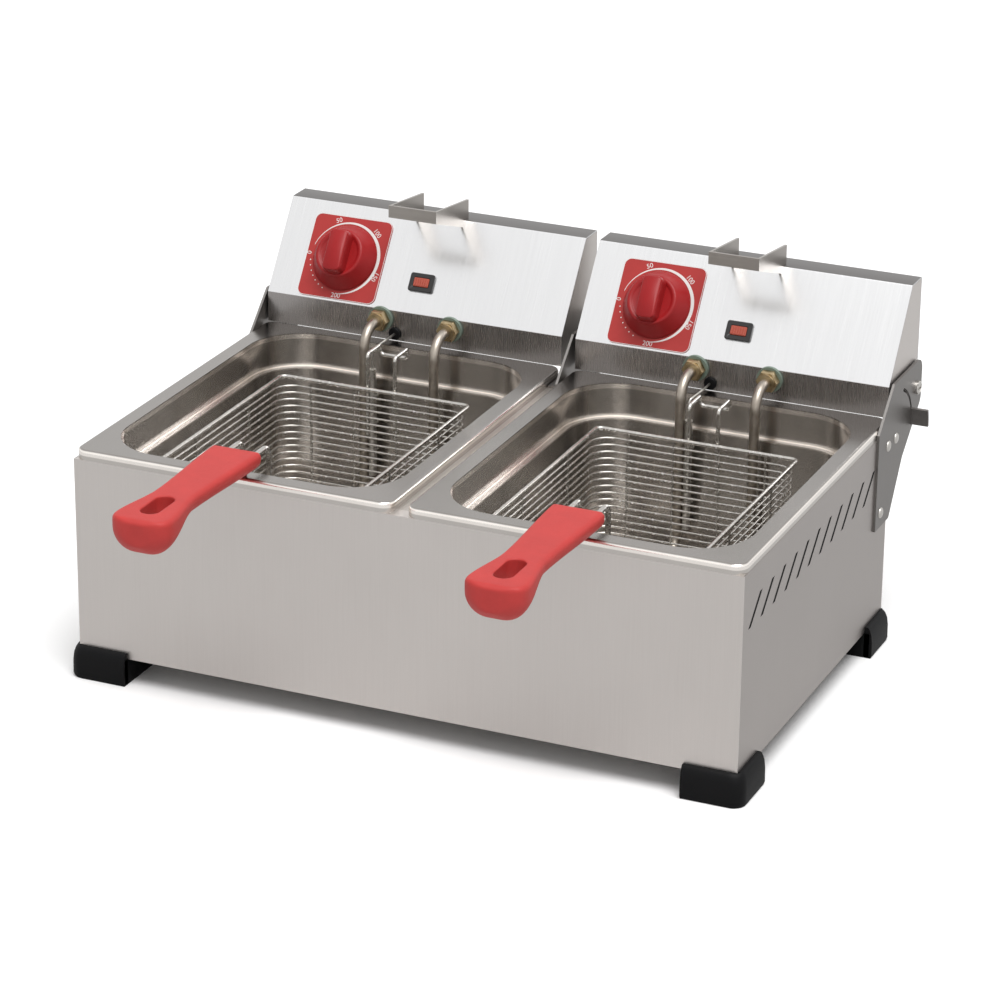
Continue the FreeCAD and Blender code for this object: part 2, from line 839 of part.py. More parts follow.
# Bracket rivets: two domed rivets and one shouldered lever rivet on each side
rivets = []
for sign in (-1, 1):
    for y, z in rivet_spots() + [("lever_y", "lever_z")]:
        dome = "half_body + bracket_gauge"
        x = dome if sign > 0 else f"-({dome} + rivet_dome)"
        rivets.append(cylinder("rivet_dome", "x", x, y, z, "rivet_head", "rivet_dome"))
    shank = "lever_side_gap + lever_gauge + bracket_gauge"
    x = "half_body - lever_side_gap - lever_gauge" if sign > 0 else "-(half_body + bracket_gauge)"
    rivets.append(cylinder("lever_shank", "x", x, "lever_y", "lever_z", "rivet_radius", shank))
group("bracket_rivets", rivets)


# Lock levers: a hub and claw behind each bracket, with a thumb tab bent out through the slot

def lock_lever(side, sign):
    hub = Vector(0, value("lever_y"), value("lever_z"))
    gauge = value("lever_gauge")
    inner = value("half_body - lever_side_gap - lever_gauge")
    first = value("tab_angle - tab_span / 2")
    last = value("tab_angle + tab_span / 2")
    radius = value("tab_radius")
    half = value("tab_gauge / 2")
    along = Vector(1, 0, 0)
    start = Vector(inner, 0, 0)
    disc = Part.makeCylinder(value("lever_hub"), gauge, hub + start, along)
    arm = arc_slot(half, radius + half, first, last, inner, inner + gauge)
    tab_end = value("half_body + bracket_gauge + tab_reach")
    tab = arc_slot(radius - half, radius + half, first, last, inner, tab_end)
    bore = Part.makeCylinder(value("rivet_radius + running_gap"), gauge, hub + start, along)
    claw = value("stud_radius + claw_gap")
    arm_radius = value("stud_arm")
    sweep = math.degrees(claw / arm_radius)
    rest = value("stud_angle - lever_travel")
    beyond = last + value("tab_span")
    notch = arc_slot(arm_radius - claw, arm_radius + claw, rest - sweep, beyond, inner, inner + gauge)
    shape = disc.fuse([arm, tab]).cut(Part.makeCompound([bore, notch])).removeSplitter()
    if sign < 0:
        shape = shape.mirror(Vector(0, 0, 0), along)
    shaped("lock_lever_" + side, shape)


for side, sign in SIDES:
    lock_lever(side, sign)


# Control heads

def head_outline(inset):
    """The head's side outline, drawn in by inset from the cover's outer face."""
    return [
        (f"head_front + {inset}", "head_bottom"),
        (f"head_front + {inset}", f"face_top + {inset} * (slope_pitch - slope_secant)"),
        (f"head_front + slope_run + {inset} * (slope_secant - 1) / slope_pitch", f"head_top - {inset}"),
        (f"head_back - {inset}", f"head_top - {inset}"),
        (f"head_back - {inset}", "head_bottom"),
    ]


def lens_size():
    return value("bezel_width - 2 * bezel_rim"), value("bezel_length - 2 * bezel_rim")


def head_cover(side, sign):
    """Folded sheet: face, sloping panel, top and back in one piece, open at the ends and below."""
    name = "head_cover_" + side
    shell = doc.addObject("PartDesign::Body", name + "_shell")
    bind_base(shell)
    level = "head_inner" if sign > 0 else "-head_outer"
    profile = head_outline("0") + list(reversed(head_outline("sheet_gauge")))
    pad(shell, "YZ_Plane", level, [profile], "head_outer - head_inner")
    middle = f"{sign} * head_middle"
    tools = []
    for end in (-1, 1):
        x = f"{middle} + element_offset + {end} * leg_spacing / 2"
        tools.append(cylinder(name + "_hole", "y", x, "head_front - sheet_gauge", "nut_z",
                              "tube_radius + bore_gap", "3 * sheet_gauge"))
    tools.append(cylinder(name + "_hole", "y", f"{middle} - grommet_offset", "head_front - sheet_gauge",
                          "flange_top + grommet_rise", "grommet_neck + bore_gap", "3 * sheet_gauge"))
    tools.append(cylinder(name + "_hole", "y", f"{middle} + gland_offset", "head_back - 2 * sheet_gauge",
                          "head_bottom + gland_rise", "gland_neck + bore_gap", "3 * sheet_gauge"))
    number = value(middle)
    gauge = value("sheet_gauge")
    bush = Part.makeCylinder(value("bush_radius + bore_gap"), 4 * gauge,
                             Vector(-value("dial_offset"), value("dial_level"), -3 * gauge))
    tools.append(slope_tool(name + "_bush_hole", bush, number))
    lens_width, lens_length = lens_size()
    gap = value("bore_gap")
    lamp = Part.makeBox(lens_width + 2 * gap, lens_length + 2 * gap, 4 * gauge,
                        Vector(value("lamp_offset") - lens_width / 2 - gap,
                               value("lamp_level") - lens_length / 2 - gap, -3 * gauge))
    tools.append(slope_tool(name + "_lamp_hole", lamp, number))
    keep(cut(name, shell, tools), name)


def head_tray(side, sign):
    """Base with both ends folded up; the outer end has the pivot boss and the catch stud."""
    tray = new_body("head_tray_" + side)
    outer = "head_outer - sheet_gauge" if sign > 0 else "-head_outer"
    inner = "head_inner" if sign > 0 else "-head_inner - sheet_gauge"
    ends = head_outline("cover_inset")
    pad(tray, "YZ_Plane", outer, [ends], "sheet_gauge")
    low, high = ("head_inner", "head_outer") if sign > 0 else ("-head_outer", "-head_inner")
    floor = [
        (low, "head_front + cover_inset"),
        (high, "head_front + cover_inset"),
        (high, "head_back - cover_inset"),
        (low, "head_back - cover_inset"),
    ]
    pad(tray, "XY_Plane", "head_bottom", [floor], "sheet_gauge")
    pad(tray, "YZ_Plane", inner, [ends], "sheet_gauge")
    boss_start = "head_outer - boss_length" if sign > 0 else "-head_outer"
    pad(tray, "YZ_Plane", boss_start, [("pivot_y", "pivot_z", "boss_radius")], "boss_length")
    stud_length = "sheet_gauge + head_side_gap - lever_side_gap"
    stud_start = "head_outer - sheet_gauge" if sign > 0 else f"sheet_gauge - head_outer - ({stud_length})"
    stud = ("lever_y + stud_arm * cos(stud_angle)", "lever_z + stud_arm * sin(stud_angle)", "stud_radius")
    pad(tray, "YZ_Plane", stud_start, [stud], stud_length)
    pocket(tray, "YZ_Plane", outer, [("pivot_y", "pivot_z", "pivot_radius + running_gap")])


def basket_hanger(side, sign):
    """Bent strip on the head's top: a bar in front between two ears that sit over the top edge."""
    gauge = value("hanger_gauge")
    width = value("hanger_width")
    edge_y, top = value("head_front + slope_run"), value("head_top")
    bar_y = edge_y - value("hanger_reach")
    bar_low = top + value("hanger_rise")
    bar_high = bar_low + value("hanger_bar")
    seat = value("hanger_seat")
    pitch = value("slope_pitch")
    ear = [
        (bar_y, bar_low),
        (edge_y - seat, top - seat * pitch),
        (edge_y, top),
        (edge_y + value("hanger_lap"), top),
        (edge_y + value("hanger_lap"), top + value("hanger_tip")),
        (bar_y, bar_high),
    ]
    wire = Part.makePolygon([Vector(0, y, z) for y, z in ear + ear[:1]])
    plate = prism(wire, Vector(gauge, 0, 0))
    x0 = sign * value("head_middle") + value("hanger_offset") - width / 2
    bar = Part.makeBox(width, gauge, bar_high - bar_low, Vector(x0, bar_y, bar_low))
    shape = bar.fuse([moved(plate, x0, 0, 0), moved(plate, x0 + width - gauge, 0, 0)])
    shaped("basket_hanger_" + side, shape.removeSplitter())


def dial_plate(side, sign):
    wire = rectangle(value("dial_width"), value("dial_length"), value("dial_round"),
                     -value("dial_offset"), value("dial_level"), 0)
    gauge = value("dial_gauge")
    hole = Part.makeCylinder(value("dial_hole"), gauge, Vector(-value("dial_offset"), value("dial_level"), 0))
    on_slope("dial_plate_" + side, prism(wire, Vector(0, 0, gauge)).cut(hole), sign * value("head_middle"))


def indicator_lamp(side, sign):
    """A bezel with its lamp housing behind the panel, and a lens let into the bezel."""
    middle = sign * value("head_middle")
    x, y = value("lamp_offset"), value("lamp_level")
    height = value("bezel_height")
    lens_width, lens_length = lens_size()
    frame = prism(rectangle(value("bezel_width"), value("bezel_length"), value("bezel_rim") / 2, x, y, 0),
                  Vector(0, 0, height))
    depth = value("lamp_depth")
    corner_x, corner_y = x - lens_width / 2, y - lens_length / 2
    housing = Part.makeBox(lens_width, lens_length, depth, Vector(corner_x, corner_y, -depth))
    gap = value("bore_gap")
    seat = height - value("lens_depth")
    inset = value("bezel_rim") / 2
    pocket_box = Part.makeBox(lens_width, lens_length, height, Vector(corner_x, corner_y, seat))
    on_slope("lamp_bezel_" + side, frame.fuse(housing).cut(pocket_box).removeSplitter(), middle)
    lens = prism(rectangle(lens_width - 2 * gap, lens_length - 2 * gap, inset, x, y, seat),
                 Vector(0, 0, value("lens_height") - seat))
    on_slope("lamp_lens_" + side, lens, middle)


def thermostat(side, sign):
    """Control body clamped behind the panel, with a bush through it for the knob's stem."""
    x, y = -value("dial_offset"), value("dial_level")
    width, length = value("thermostat_width"), value("thermostat_length")
    depth = value("thermostat_depth")
    gauge = value("sheet_gauge")
    case = Part.makeBox(width, length, depth, Vector(x - width / 2, y - length / 2, -gauge - depth))
    bush = Part.makeCylinder(value("bush_radius"), gauge + value("dial_gauge"), Vector(x, y, -gauge))
    stem = value("stem_depth")
    bore = Part.makeCylinder(value("stem_radius + running_gap"), 2 * stem, Vector(x, y, -stem - gauge))
    on_slope("thermostat_" + side, case.fuse(bush).cut(bore).removeSplitter(), sign * value("head_middle"))


def knob(side, sign):
    """Cone-shaped skirt with a dished face, a broad grip bar across it and a stem into the thermostat."""
    x, y = -value("dial_offset"), value("dial_level")
    low = value("dial_gauge + knob_gap")
    radius, height = value("knob_radius"), value("skirt_height")
    skirt = Part.makeCone(radius, radius - value("skirt_draft"), height, Vector(x, y, low))
    dish = Part.makeCylinder(value("dish_radius"), height, Vector(x, y, low + height - value("dish_depth")))
    grip_width, grip_length = value("grip_width"), value("grip_length")
    grip_round, narrow = value("grip_round"), value("grip_draft")
    base = rectangle(grip_width, grip_length, grip_round, x, y, low + height / 2)
    crown = rectangle(grip_width - 2 * narrow, grip_length - 2 * narrow, grip_round - narrow, x, y,
                      low + value("grip_height"))
    grip = Part.makeLoft([base, crown], True, True)
    stem_depth = value("stem_depth")
    stem = Part.makeCylinder(value("stem_radius"), stem_depth + low, Vector(x, y, -stem_depth))
    shape = skirt.cut(dish).fuse([grip, stem]).removeSplitter()
    on_slope("knob_" + side, shape, sign * value("head_middle"))


def heating_element(side, sign):
    """Bent tube: two legs through the head's face, down the tank's back and a looped run along its floor."""
    middle = sign * value("head_middle") + value("element_offset")
    leg = value("leg_spacing / 2")
    outer, inner = value("1.5 * loop_pitch"), value("0.5 * loop_pitch")
    tail_y = value("head_front + element_tail")
    leg_y, high, low = value("leg_y"), value("nut_z"), value("element_level")
    flare = leg_y - value("flare_start")
    spread = flare - value("flare_run")
    front = value("basket_front + element_front_gap")
    rear = leg_y - value("element_rear_gap")
    half = [
        (-leg, tail_y, high), (-leg, leg_y, high), (-leg, leg_y, low), (-leg, flare, low),
        (-outer, spread, low), (-outer, front, low), (-inner, front, low), (-inner, rear, low),
    ]
    points = [Vector(middle + x, y, z) for x, y, z in half]
    points += [Vector(middle - x, y, z) for x, y, z in reversed(half)]
    turn = value("(loop_pitch - loop_flat) / 2")
    top_bend, low_bend = value("top_bend"), value("low_bend")
    bends = [top_bend, low_bend, low_bend, low_bend, turn, turn, turn]
    bar = tube(points, bends + list(reversed(bends)), value("tube_radius"))
    pins = []
    pin_radius, pin_length = value("terminal_radius"), value("terminal_length")
    for end in (-1, 1):
        start = Vector(middle + end * leg, tail_y, high)
        pins.append(Part.makeCylinder(pin_radius, pin_length, start, Vector(0, 1, 0)))
    shaped("heating_element_" + side, bar.fuse(pins))


def element_fittings(side, sign):
    """A gasket against the head's face and a brass nut on it, on each leg of the element."""
    gaskets = []
    nuts = []
    reach = value("nut_flats") / math.sqrt(3)
    for end in (-1, 1):
        x = sign * value("head_middle") + value("element_offset") + end * value("leg_spacing / 2")
        face = Vector(x, value("head_front - gasket_gauge"), value("nut_z"))
        bore_radius = value("tube_radius + bore_gap")
        disc = Part.makeCylinder(value("gasket_radius"), value("gasket_gauge"), face, Vector(0, 1, 0))
        bore = Part.makeCylinder(bore_radius, value("gasket_gauge"), face, Vector(0, 1, 0))
        gaskets.append(disc.cut(bore))
        start = face - Vector(0, value("nut_height"), 0)
        corners = []
        for k in range(7):
            turn = math.radians(60 * k)
            corners.append(start + Vector(reach * math.cos(turn), 0, reach * math.sin(turn)))
        nut = prism(Part.makePolygon(corners), Vector(0, value("nut_height"), 0))
        nuts.append(nut.cut(Part.makeCylinder(bore_radius, value("nut_height"), start, Vector(0, 1, 0))))
    shaped("element_gaskets_" + side, Part.makeCompound(gaskets))
    shaped("element_nuts_" + side, Part.makeCompound(nuts))


def grommet_and_bulb(side, sign):
    """Sensing bulb tied to the element's left leg, its capillary going through a rubber grommet."""
    middle = sign * value("head_middle")
    leg_x = middle + value("element_offset - leg_spacing / 2")
    leg_y = value("leg_y")
    apart = value("tube_radius + bulb_radius + bulb_gap")
    bulb_x = leg_x + apart
    top, length = value("bulb_top"), value("bulb_length")
    bulb = Part.makeCylinder(value("bulb_radius"), length, Vector(bulb_x, leg_y, top - length))
    hole = Vector(middle - value("grommet_offset"), value("head_front"), value("flange_top + grommet_rise"))
    forward = Vector(0, 1, 0)
    gauge = value("grommet_gauge")
    flange = Part.makeCylinder(value("grommet_radius"), gauge, hole - Vector(0, gauge, 0), forward)
    neck = Part.makeCylinder(value("grommet_neck"), 2 * gauge, hole, forward)
    bore_radius = value("capillary_radius + bore_gap")
    bore = Part.makeCylinder(bore_radius, 4 * gauge, hole - Vector(0, gauge, 0), forward)
    shaped("capillary_grommet_" + side, flange.fuse(neck).cut(bore).removeSplitter())
    stand = (hole.y - gauge + leg_y) / 2
    route = [
        Vector(bulb_x, leg_y, top),
        Vector(bulb_x, leg_y, hole.z - value("capillary_bend")),
        Vector(hole.x, stand, hole.z),
        Vector(hole.x, hole.y + value("capillary_tail"), hole.z),
    ]
    bend = value("capillary_bend")
    capillary = tube(route, [bend, bend], value("capillary_radius"))
    ties = []
    spare = value("bulb_gap / 2")
    height, thickness = value("tie_height"), value("tie_gauge")
    count = int(value("tie_count"))
    pitch = length / (count + 1)
    for k in range(count):
        z = top - length + pitch * (k + 1)
        wide = value("tube_radius") + spare
        size_x = apart + 2 * wide
        inner = rectangle(size_x, 2 * wide, wide, leg_x + apart / 2, leg_y, z)
        outer = rectangle(size_x + 2 * thickness, 2 * (wide + thickness), wide + thickness,
                          leg_x + apart / 2, leg_y, z)
        band = prism(outer, Vector(0, 0, height)).cut(prism(inner, Vector(0, 0, height)))
        ties.append(band)
    shaped("thermostat_bulb_" + side, Part.makeCompound([bulb.fuse(capillary)] + ties))


def head_fittings(side, sign):
    middle = f"{sign} * head_middle"
    block = box("terminal_block_" + side, f"{middle} + block_offset - block_width / 2",
                "head_back - cover_inset - block_depth", "head_bottom + sheet_gauge",
                "block_width", "block_depth", "block_height")
    keep(block, "terminal_block_" + side)
    x, z = f"{middle} + gland_offset", "head_bottom + gland_rise"
    cap = cylinder("gland_cap_" + side, "y", x, "head_back", z, "gland_radius", "gland_length")
    neck = cylinder("gland_neck_" + side, "y", x, "head_back - gland_nut - sheet_gauge", z,
                    "gland_neck", "gland_nut + sheet_gauge")
    whole = doc.addObject("Part::MultiFuse", "gland_solid_" + side)
    whole.Shapes = [cap, neck]
    bore = cylinder("gland_bore_" + side, "y", x, "head_back - gland_nut - 2 * sheet_gauge", z,
                    "gland_bore", "gland_nut + gland_length + 3 * sheet_gauge")
    keep(cut("cord_gland_" + side, whole, [bore]), "cord_gland_" + side)
    far = "half_body + bracket_gauge"
    length = "bracket_gauge + head_side_gap + boss_length"
    shank_x = f"{far} - ({length})" if sign > 0 else f"-({far})"
    head_x = far if sign > 0 else f"-({far} + pivot_head_height)"
    shank = cylinder("pivot_shank_" + side, "x", shank_x, "pivot_y", "pivot_z", "pivot_radius", length)
    head = cylinder("pivot_head_" + side, "x", head_x, "pivot_y", "pivot_z",
                    "pivot_head_radius", "pivot_head_height")
    screw = doc.addObject("Part::MultiFuse", "pivot_solid_" + side)
    screw.Shapes = [shank, head]
    slot_x = f"{far} + pivot_head_height / 2" if sign > 0 else f"-({far} + pivot_head_height)"
    slot = box("pivot_slot_" + side, slot_x, "pivot_y - pivot_head_radius", "pivot_z - pivot_slot / 2",
               "pivot_head_height / 2", "2 * pivot_head_radius", "pivot_slot")
    keep(cut("pivot_screw_" + side, screw, [slot]), "pivot_screw_" + side)


for side, sign in SIDES:
    head_cover(side, sign)
    head_tray(side, sign)
    basket_hanger(side, sign)
    dial_plate(side, sign)
    indicator_lamp(side, sign)
    thermostat(side, sign)
    knob(side, sign)
    heating_element(side, sign)
    element_fittings(side, sign)
    grommet_and_bulb(side, sign)
    head_fittings(side, sign)


# Wire baskets with moulded handles

def basket_cage(side, sign):
    """Eight flat wire grilles standing round a wire floor."""
    middle_x = sign * value("tank_middle")
    middle_y = value("(basket_front + basket_back) / 2")
    width, length = value("basket_width"), value("basket_length")
    corner, wire = value("basket_corner"), value("wire_gauge")
    floor_z = value("basket_floor")
    wall_z = floor_z + wire
    height = value("rim_z - rim_radius") - wall_z
    rows = int(value("wall_rows"))
    panels = []

    def stand(panel, turn, x, y):
        turned = panel.transformed(Rotation(Vector(0, 0, 1), turn).toMatrix(), True)
        panels.append(moved(turned, middle_x + x, middle_y + y, wall_z))

    for span, reach, columns, turns in (
            (width - 2 * corner, length / 2, value("end_columns"), (0, 180)),
            (length - 2 * corner, width / 2, value("side_columns"), (90, 270))):
        wall = moved(grille(span, height, int(columns), rows, wire), -span / 2, -reach, 0)
        for turn in turns:
            stand(wall, turn, 0, 0)
    span = corner * math.sqrt(2) - 2 * wire
    brace = moved(grille(span, height, 1, rows, wire), -span / 2, 0, 0)
    for turn, x, y in ((45, 1, -1), (135, 1, 1), (225, -1, 1), (315, -1, -1)):
        stand(brace, turn, x * (width - corner) / 2, y * (length - corner) / 2)
    columns, rows = int(value("floor_columns")), int(value("floor_rows"))
    floor_width = width - 2 * corner
    floor_length = length - 2 * wire
    flat = grille(floor_width, floor_length, columns, rows, wire)
    flat = flat.transformed(Rotation(Vector(1, 0, 0), -90).toMatrix(), True)
    panels.append(moved(flat, middle_x - floor_width / 2, middle_y - floor_length / 2, floor_z + wire))
    shaped("basket_cage_" + side, Part.makeCompound(panels))


def basket_frame(side, sign):
    """Rim wire, the hanging hook at the back and the two-legged tang that carries the handle."""
    middle_x = sign * value("tank_middle")
    front, back = value("basket_front"), value("basket_back")
    rim_z, rim_radius = value("rim_z"), value("rim_radius")
    half_wire = value("wire_gauge / 2")
    path = rectangle(value("basket_width - wire_gauge"), value("basket_length - wire_gauge"),
                     value("rim_corner"), middle_x, (front + back) / 2, rim_z)
    start = Vector(middle_x, front + half_wire, rim_z)
    profile = Part.Wire(Part.Circle(start, Vector(1, 0, 0), rim_radius).toShape())
    rim = path.makePipeShell([profile], True, False)
    gap = value("bore_gap")

    hook_radius, hook_bend = value("hook_radius"), value("hook_bend")
    hook_y = back - half_wire + rim_radius + hook_radius + gap
    half = value("hook_width / 2")
    low, high = rim_z - value("hook_leg"), rim_z + value("hook_rise")
    reach, drop = hook_y + value("hook_reach"), high - value("hook_drop")
    side_points = [(hook_y, low), (hook_y, high), (reach, high), (reach, drop)]
    hook_x = middle_x + value("hook_offset")
    hook_points = [Vector(hook_x - half, y, z) for y, z in side_points]
    hook_points += [Vector(hook_x + half, y, z) for y, z in reversed(side_points)]
    hook = tube(hook_points, [hook_bend] * 6, hook_radius)

    tang_radius = value("tang_radius")
    tang_y = front + half_wire - rim_radius - tang_radius - gap
    tang_z = value("handle_top_z - root_thickness / 2")
    tangs = []
    for end in (-1, 1):
        x = middle_x + end * value("tang_width / 2")
        route = [
            Vector(x, tang_y, rim_z - value("tang_drop")),
            Vector(x, tang_y, tang_z),
            Vector(x, value("handle_root - tang_grip"), tang_z),
        ]
        tangs.append(tube(route, [value("tang_bend")], tang_radius))
    shaped("basket_frame_" + side, Part.makeCompound([rim, hook] + tangs))


def basket_handle(side, sign):
    """Moulded grip: flat top, waist, deep rounded nose, hanging hole and a lug on the flange."""
    middle_x = sign * value("tank_middle")
    top = value("handle_top_z")
    root, tip = value("handle_root"), -value("handle_reach")
    crown, nose = value("crown_round"), value("nose_round")
    end_width, end_thickness = value("grip_end_width"), value("grip_end_thickness")
    thin, half_waist = value("root_thickness"), value("waist_width / 2")
    half_root, half_end = value("root_width / 2"), end_width / 2
    waist_y, flare_y = tip + value("waist_back"), tip + value("flare_back")
    low, under = top - end_thickness, top - thin

    def curve(points):
        line = Part.BSplineCurve()
        line.interpolate(points)
        return line.toShape()

    def line(start, end):
        return Part.LineSegment(start, end).toShape()

    def side_of(end):
        rows = ((root, half_root), (waist_y, half_waist), (flare_y, half_end))
        return [Vector(middle_x + end * half, y, low) for y, half in rows]

    left, right = side_of(-1), side_of(1)
    plan = [
        curve(left),
        Part.Arc(left[-1], Vector(middle_x, tip, low), right[-1]).toShape(),
        curve(right),
        line(right[0], left[0]),
    ]
    start = middle_x - half_end
    bulge = Vector(start, (tip + flare_y) / 2, low + value("nose_bulge"))
    belly = [Vector(start, y, z) for y, z in ((flare_y, low), (waist_y, under), (root, under))]
    side_view = [
        curve(belly),
        line(belly[-1], Vector(start, root, top)),
        line(Vector(start, root, top), Vector(start, tip, top)),
        line(Vector(start, tip, top), Vector(start, tip, low + nose)),
        Part.Arc(Vector(start, tip, low + nose), bulge, belly[0]).toShape(),
    ]
    end_view = rounded_wire([
        (Vector(middle_x - half_end, tip, top), 0),
        (Vector(middle_x + half_end, tip, top), 0),
        (Vector(middle_x + half_end, tip, low), nose),
        (Vector(middle_x - half_end, tip, low), nose),
    ])
    grip = prism(Part.Wire(Part.__sortEdges__(plan)), Vector(0, 0, end_thickness))
    grip = grip.common(prism(Part.Wire(Part.__sortEdges__(side_view)), Vector(end_width, 0, 0)))
    grip = grip.common(prism(end_view, Vector(0, root - tip, 0)))
    upper = [edge for edge in grip.Edges if edge.BoundBox.ZMin > top - CLOSE]
    grip = grip.makeFillet(crown, upper)
    lug_width, lug_length = value("lug_width"), value("lug_length")
    lug_low = value("flange_top + seat_gap")
    lug = Part.makeBox(lug_width, lug_length, top - thin / 2 - lug_low,
                       Vector(middle_x - lug_width / 2, root - lug_length, lug_low))
    hole_width, hole_length = value("hang_hole_width"), value("hang_hole_length")
    hole_y = tip + value("hang_hole_inset") + hole_length / 2
    hole = prism(rectangle(hole_width, hole_length, hole_width / 2, middle_x, hole_y, low),
                 Vector(0, 0, end_thickness))
    bores = []
    tang_grip, bore_radius = value("tang_grip"), value("tang_radius + bore_gap")
    for end in (-1, 1):
        start = Vector(middle_x + end * value("tang_width / 2"), root - tang_grip, top - thin / 2)
        bores.append(Part.makeCylinder(bore_radius, 2 * tang_grip, start, Vector(0, 1, 0)))
    shape = grip.fuse(lug).cut(Part.makeCompound([hole] + bores)).removeSplitter()
    shaped("basket_handle_" + side, shape)


for side, sign in SIDES:
    basket_cage(side, sign)
    basket_frame(side, sign)
    basket_handle(side, sign)


doc.recompute()

# Every piece is checked before any is written
for item in doc.Objects:
    if "Invalid" in item.State or "Error" in item.State:
        raise ValueError(f"{item.Label} did not rebuild: {item.State}")
for item in NODES:
    if item.Shape.isNull() or not item.Shape.isValid():
        raise ValueError(f"{item.Label} has no valid shape")

os.makedirs("parts", exist_ok=True)
for item in NODES:
    item.Shape.exportStep(f"parts/{item.Label}.step")
print(len(NODES), "pieces written")
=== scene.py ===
import math

import bmesh
import bpy
from mathutils import Matrix, Vector


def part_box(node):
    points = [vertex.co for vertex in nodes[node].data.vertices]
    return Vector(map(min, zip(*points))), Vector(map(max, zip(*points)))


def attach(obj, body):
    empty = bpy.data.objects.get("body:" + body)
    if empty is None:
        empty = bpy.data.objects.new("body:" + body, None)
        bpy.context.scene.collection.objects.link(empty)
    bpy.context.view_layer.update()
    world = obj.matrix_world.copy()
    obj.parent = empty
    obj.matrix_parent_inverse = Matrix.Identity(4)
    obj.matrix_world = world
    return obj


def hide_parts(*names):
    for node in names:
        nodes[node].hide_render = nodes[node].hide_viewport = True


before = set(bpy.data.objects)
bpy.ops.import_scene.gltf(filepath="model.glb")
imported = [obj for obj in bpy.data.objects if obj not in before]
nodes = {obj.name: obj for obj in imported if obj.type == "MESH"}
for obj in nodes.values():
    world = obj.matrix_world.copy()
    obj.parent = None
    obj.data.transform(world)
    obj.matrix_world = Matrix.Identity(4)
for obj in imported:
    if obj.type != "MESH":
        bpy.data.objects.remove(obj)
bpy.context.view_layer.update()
sides = (("left", -1), ("right", 1))

# Cabinet panels: thin stainless sheet, brushed from top to bottom, folded in at the edges
# and spot welded at the corners. The base plate and the centre rail are of the same sheet.


def new_material(name):
    material = bpy.data.materials.new(name)
    material.use_nodes = True
    tree = material.node_tree
    return material, tree, tree.nodes["Principled BSDF"]


def noise(tree, stretch, detail=3.0, roughness=0.6):
    """Noise over the piece's own coordinates, in cells per metre along X, Y and Z."""
    place = tree.nodes.new("ShaderNodeTexCoord")
    mapping = tree.nodes.new("ShaderNodeMapping")
    mapping.inputs["Scale"].default_value = stretch
    tree.links.new(place.outputs["Object"], mapping.inputs["Vector"])
    texture = tree.nodes.new("ShaderNodeTexNoise")
    texture.inputs["Scale"].default_value = 1.0
    texture.inputs["Detail"].default_value = detail
    texture.inputs["Roughness"].default_value = roughness
    tree.links.new(mapping.outputs["Vector"], texture.inputs["Vector"])
    return texture.outputs["Fac"]


def ramp(tree, source, low, high, start=0.3, end=0.7):
    """Two colours, or two grey levels, spread over a noise."""
    node = tree.nodes.new("ShaderNodeValToRGB")
    for stop, place, colour in zip(node.color_ramp.elements, (start, end), (low, high)):
        stop.position = place
        stop.color = (*colour, 1.0) if isinstance(colour, tuple) else (colour, colour, colour, 1.0)
    tree.links.new(source, node.inputs["Fac"])
    return node.outputs["Color"]


def bump(tree, shader, source, strength, distance):
    node = tree.nodes.new("ShaderNodeBump")
    node.inputs["Strength"].default_value = strength
    node.inputs["Distance"].default_value = distance
    tree.links.new(source, node.inputs["Height"])
    tree.links.new(node.outputs["Normal"], shader.inputs["Normal"])


def steel(name, low, high, rough_low, rough_high, grain, relief):
    """Stainless steel with a grain that runs along the axis with the fewest cells."""
    material, tree, shader = new_material(name)
    shader.inputs["Metallic"].default_value = 1.0
    lines = noise(tree, grain, 4.0, 0.7)
    cloud = noise(tree, (9.0, 9.0, 9.0), 2.0)
    blend = tree.nodes.new("ShaderNodeMix")
    blend.inputs["Factor"].default_value = 0.35
    tree.links.new(lines, blend.inputs["A"])
    tree.links.new(cloud, blend.inputs["B"])
    tree.links.new(ramp(tree, blend.outputs["Result"], low, high), shader.inputs["Base Color"])
    tree.links.new(ramp(tree, lines, rough_low, rough_high), shader.inputs["Roughness"])
    bump(tree, shader, lines, relief, 0.0002)
    return material


def dress(material, *names):
    for name in names:
        mesh = nodes[name].data
        mesh.materials.clear()
        mesh.materials.append(material)


panel_steel = steel("panel_steel", (0.59, 0.555, 0.53), (0.635, 0.60, 0.575), 0.34, 0.42,
                    (1400.0, 1400.0, 14.0), 0.05)
dress(panel_steel, "front_panel", "rear_panel")
# The side panels take a darker copy of the panel steel: painted shade on the sides of the cabinet.
side_shade_steel = steel("side_shade_steel", (0.38, 0.352, 0.336), (0.41, 0.383, 0.367), 0.36, 0.44,
                   (1400.0, 1400.0, 14.0), 0.05)
flat_steel = steel("flat_steel", (0.46, 0.43, 0.40), (0.54, 0.51, 0.48), 0.34, 0.46,
                   (14.0, 1400.0, 1400.0), 0.12)
dress(flat_steel, "base_plate", "centre_rail")

# Vent slots: punched slanting through the side panels, of the same brushed sheet as the front.
# Their cut walls are painted black as shade, and the dark inside of the cabinet shows through.


def piece(name, mesh, material, body, slot, *replaced):
    obj = bpy.data.objects.new(name, mesh)
    bpy.context.scene.collection.objects.link(obj)
    mesh.materials.append(material)
    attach(obj, body)
    if replaced:
        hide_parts(*replaced)
    return obj


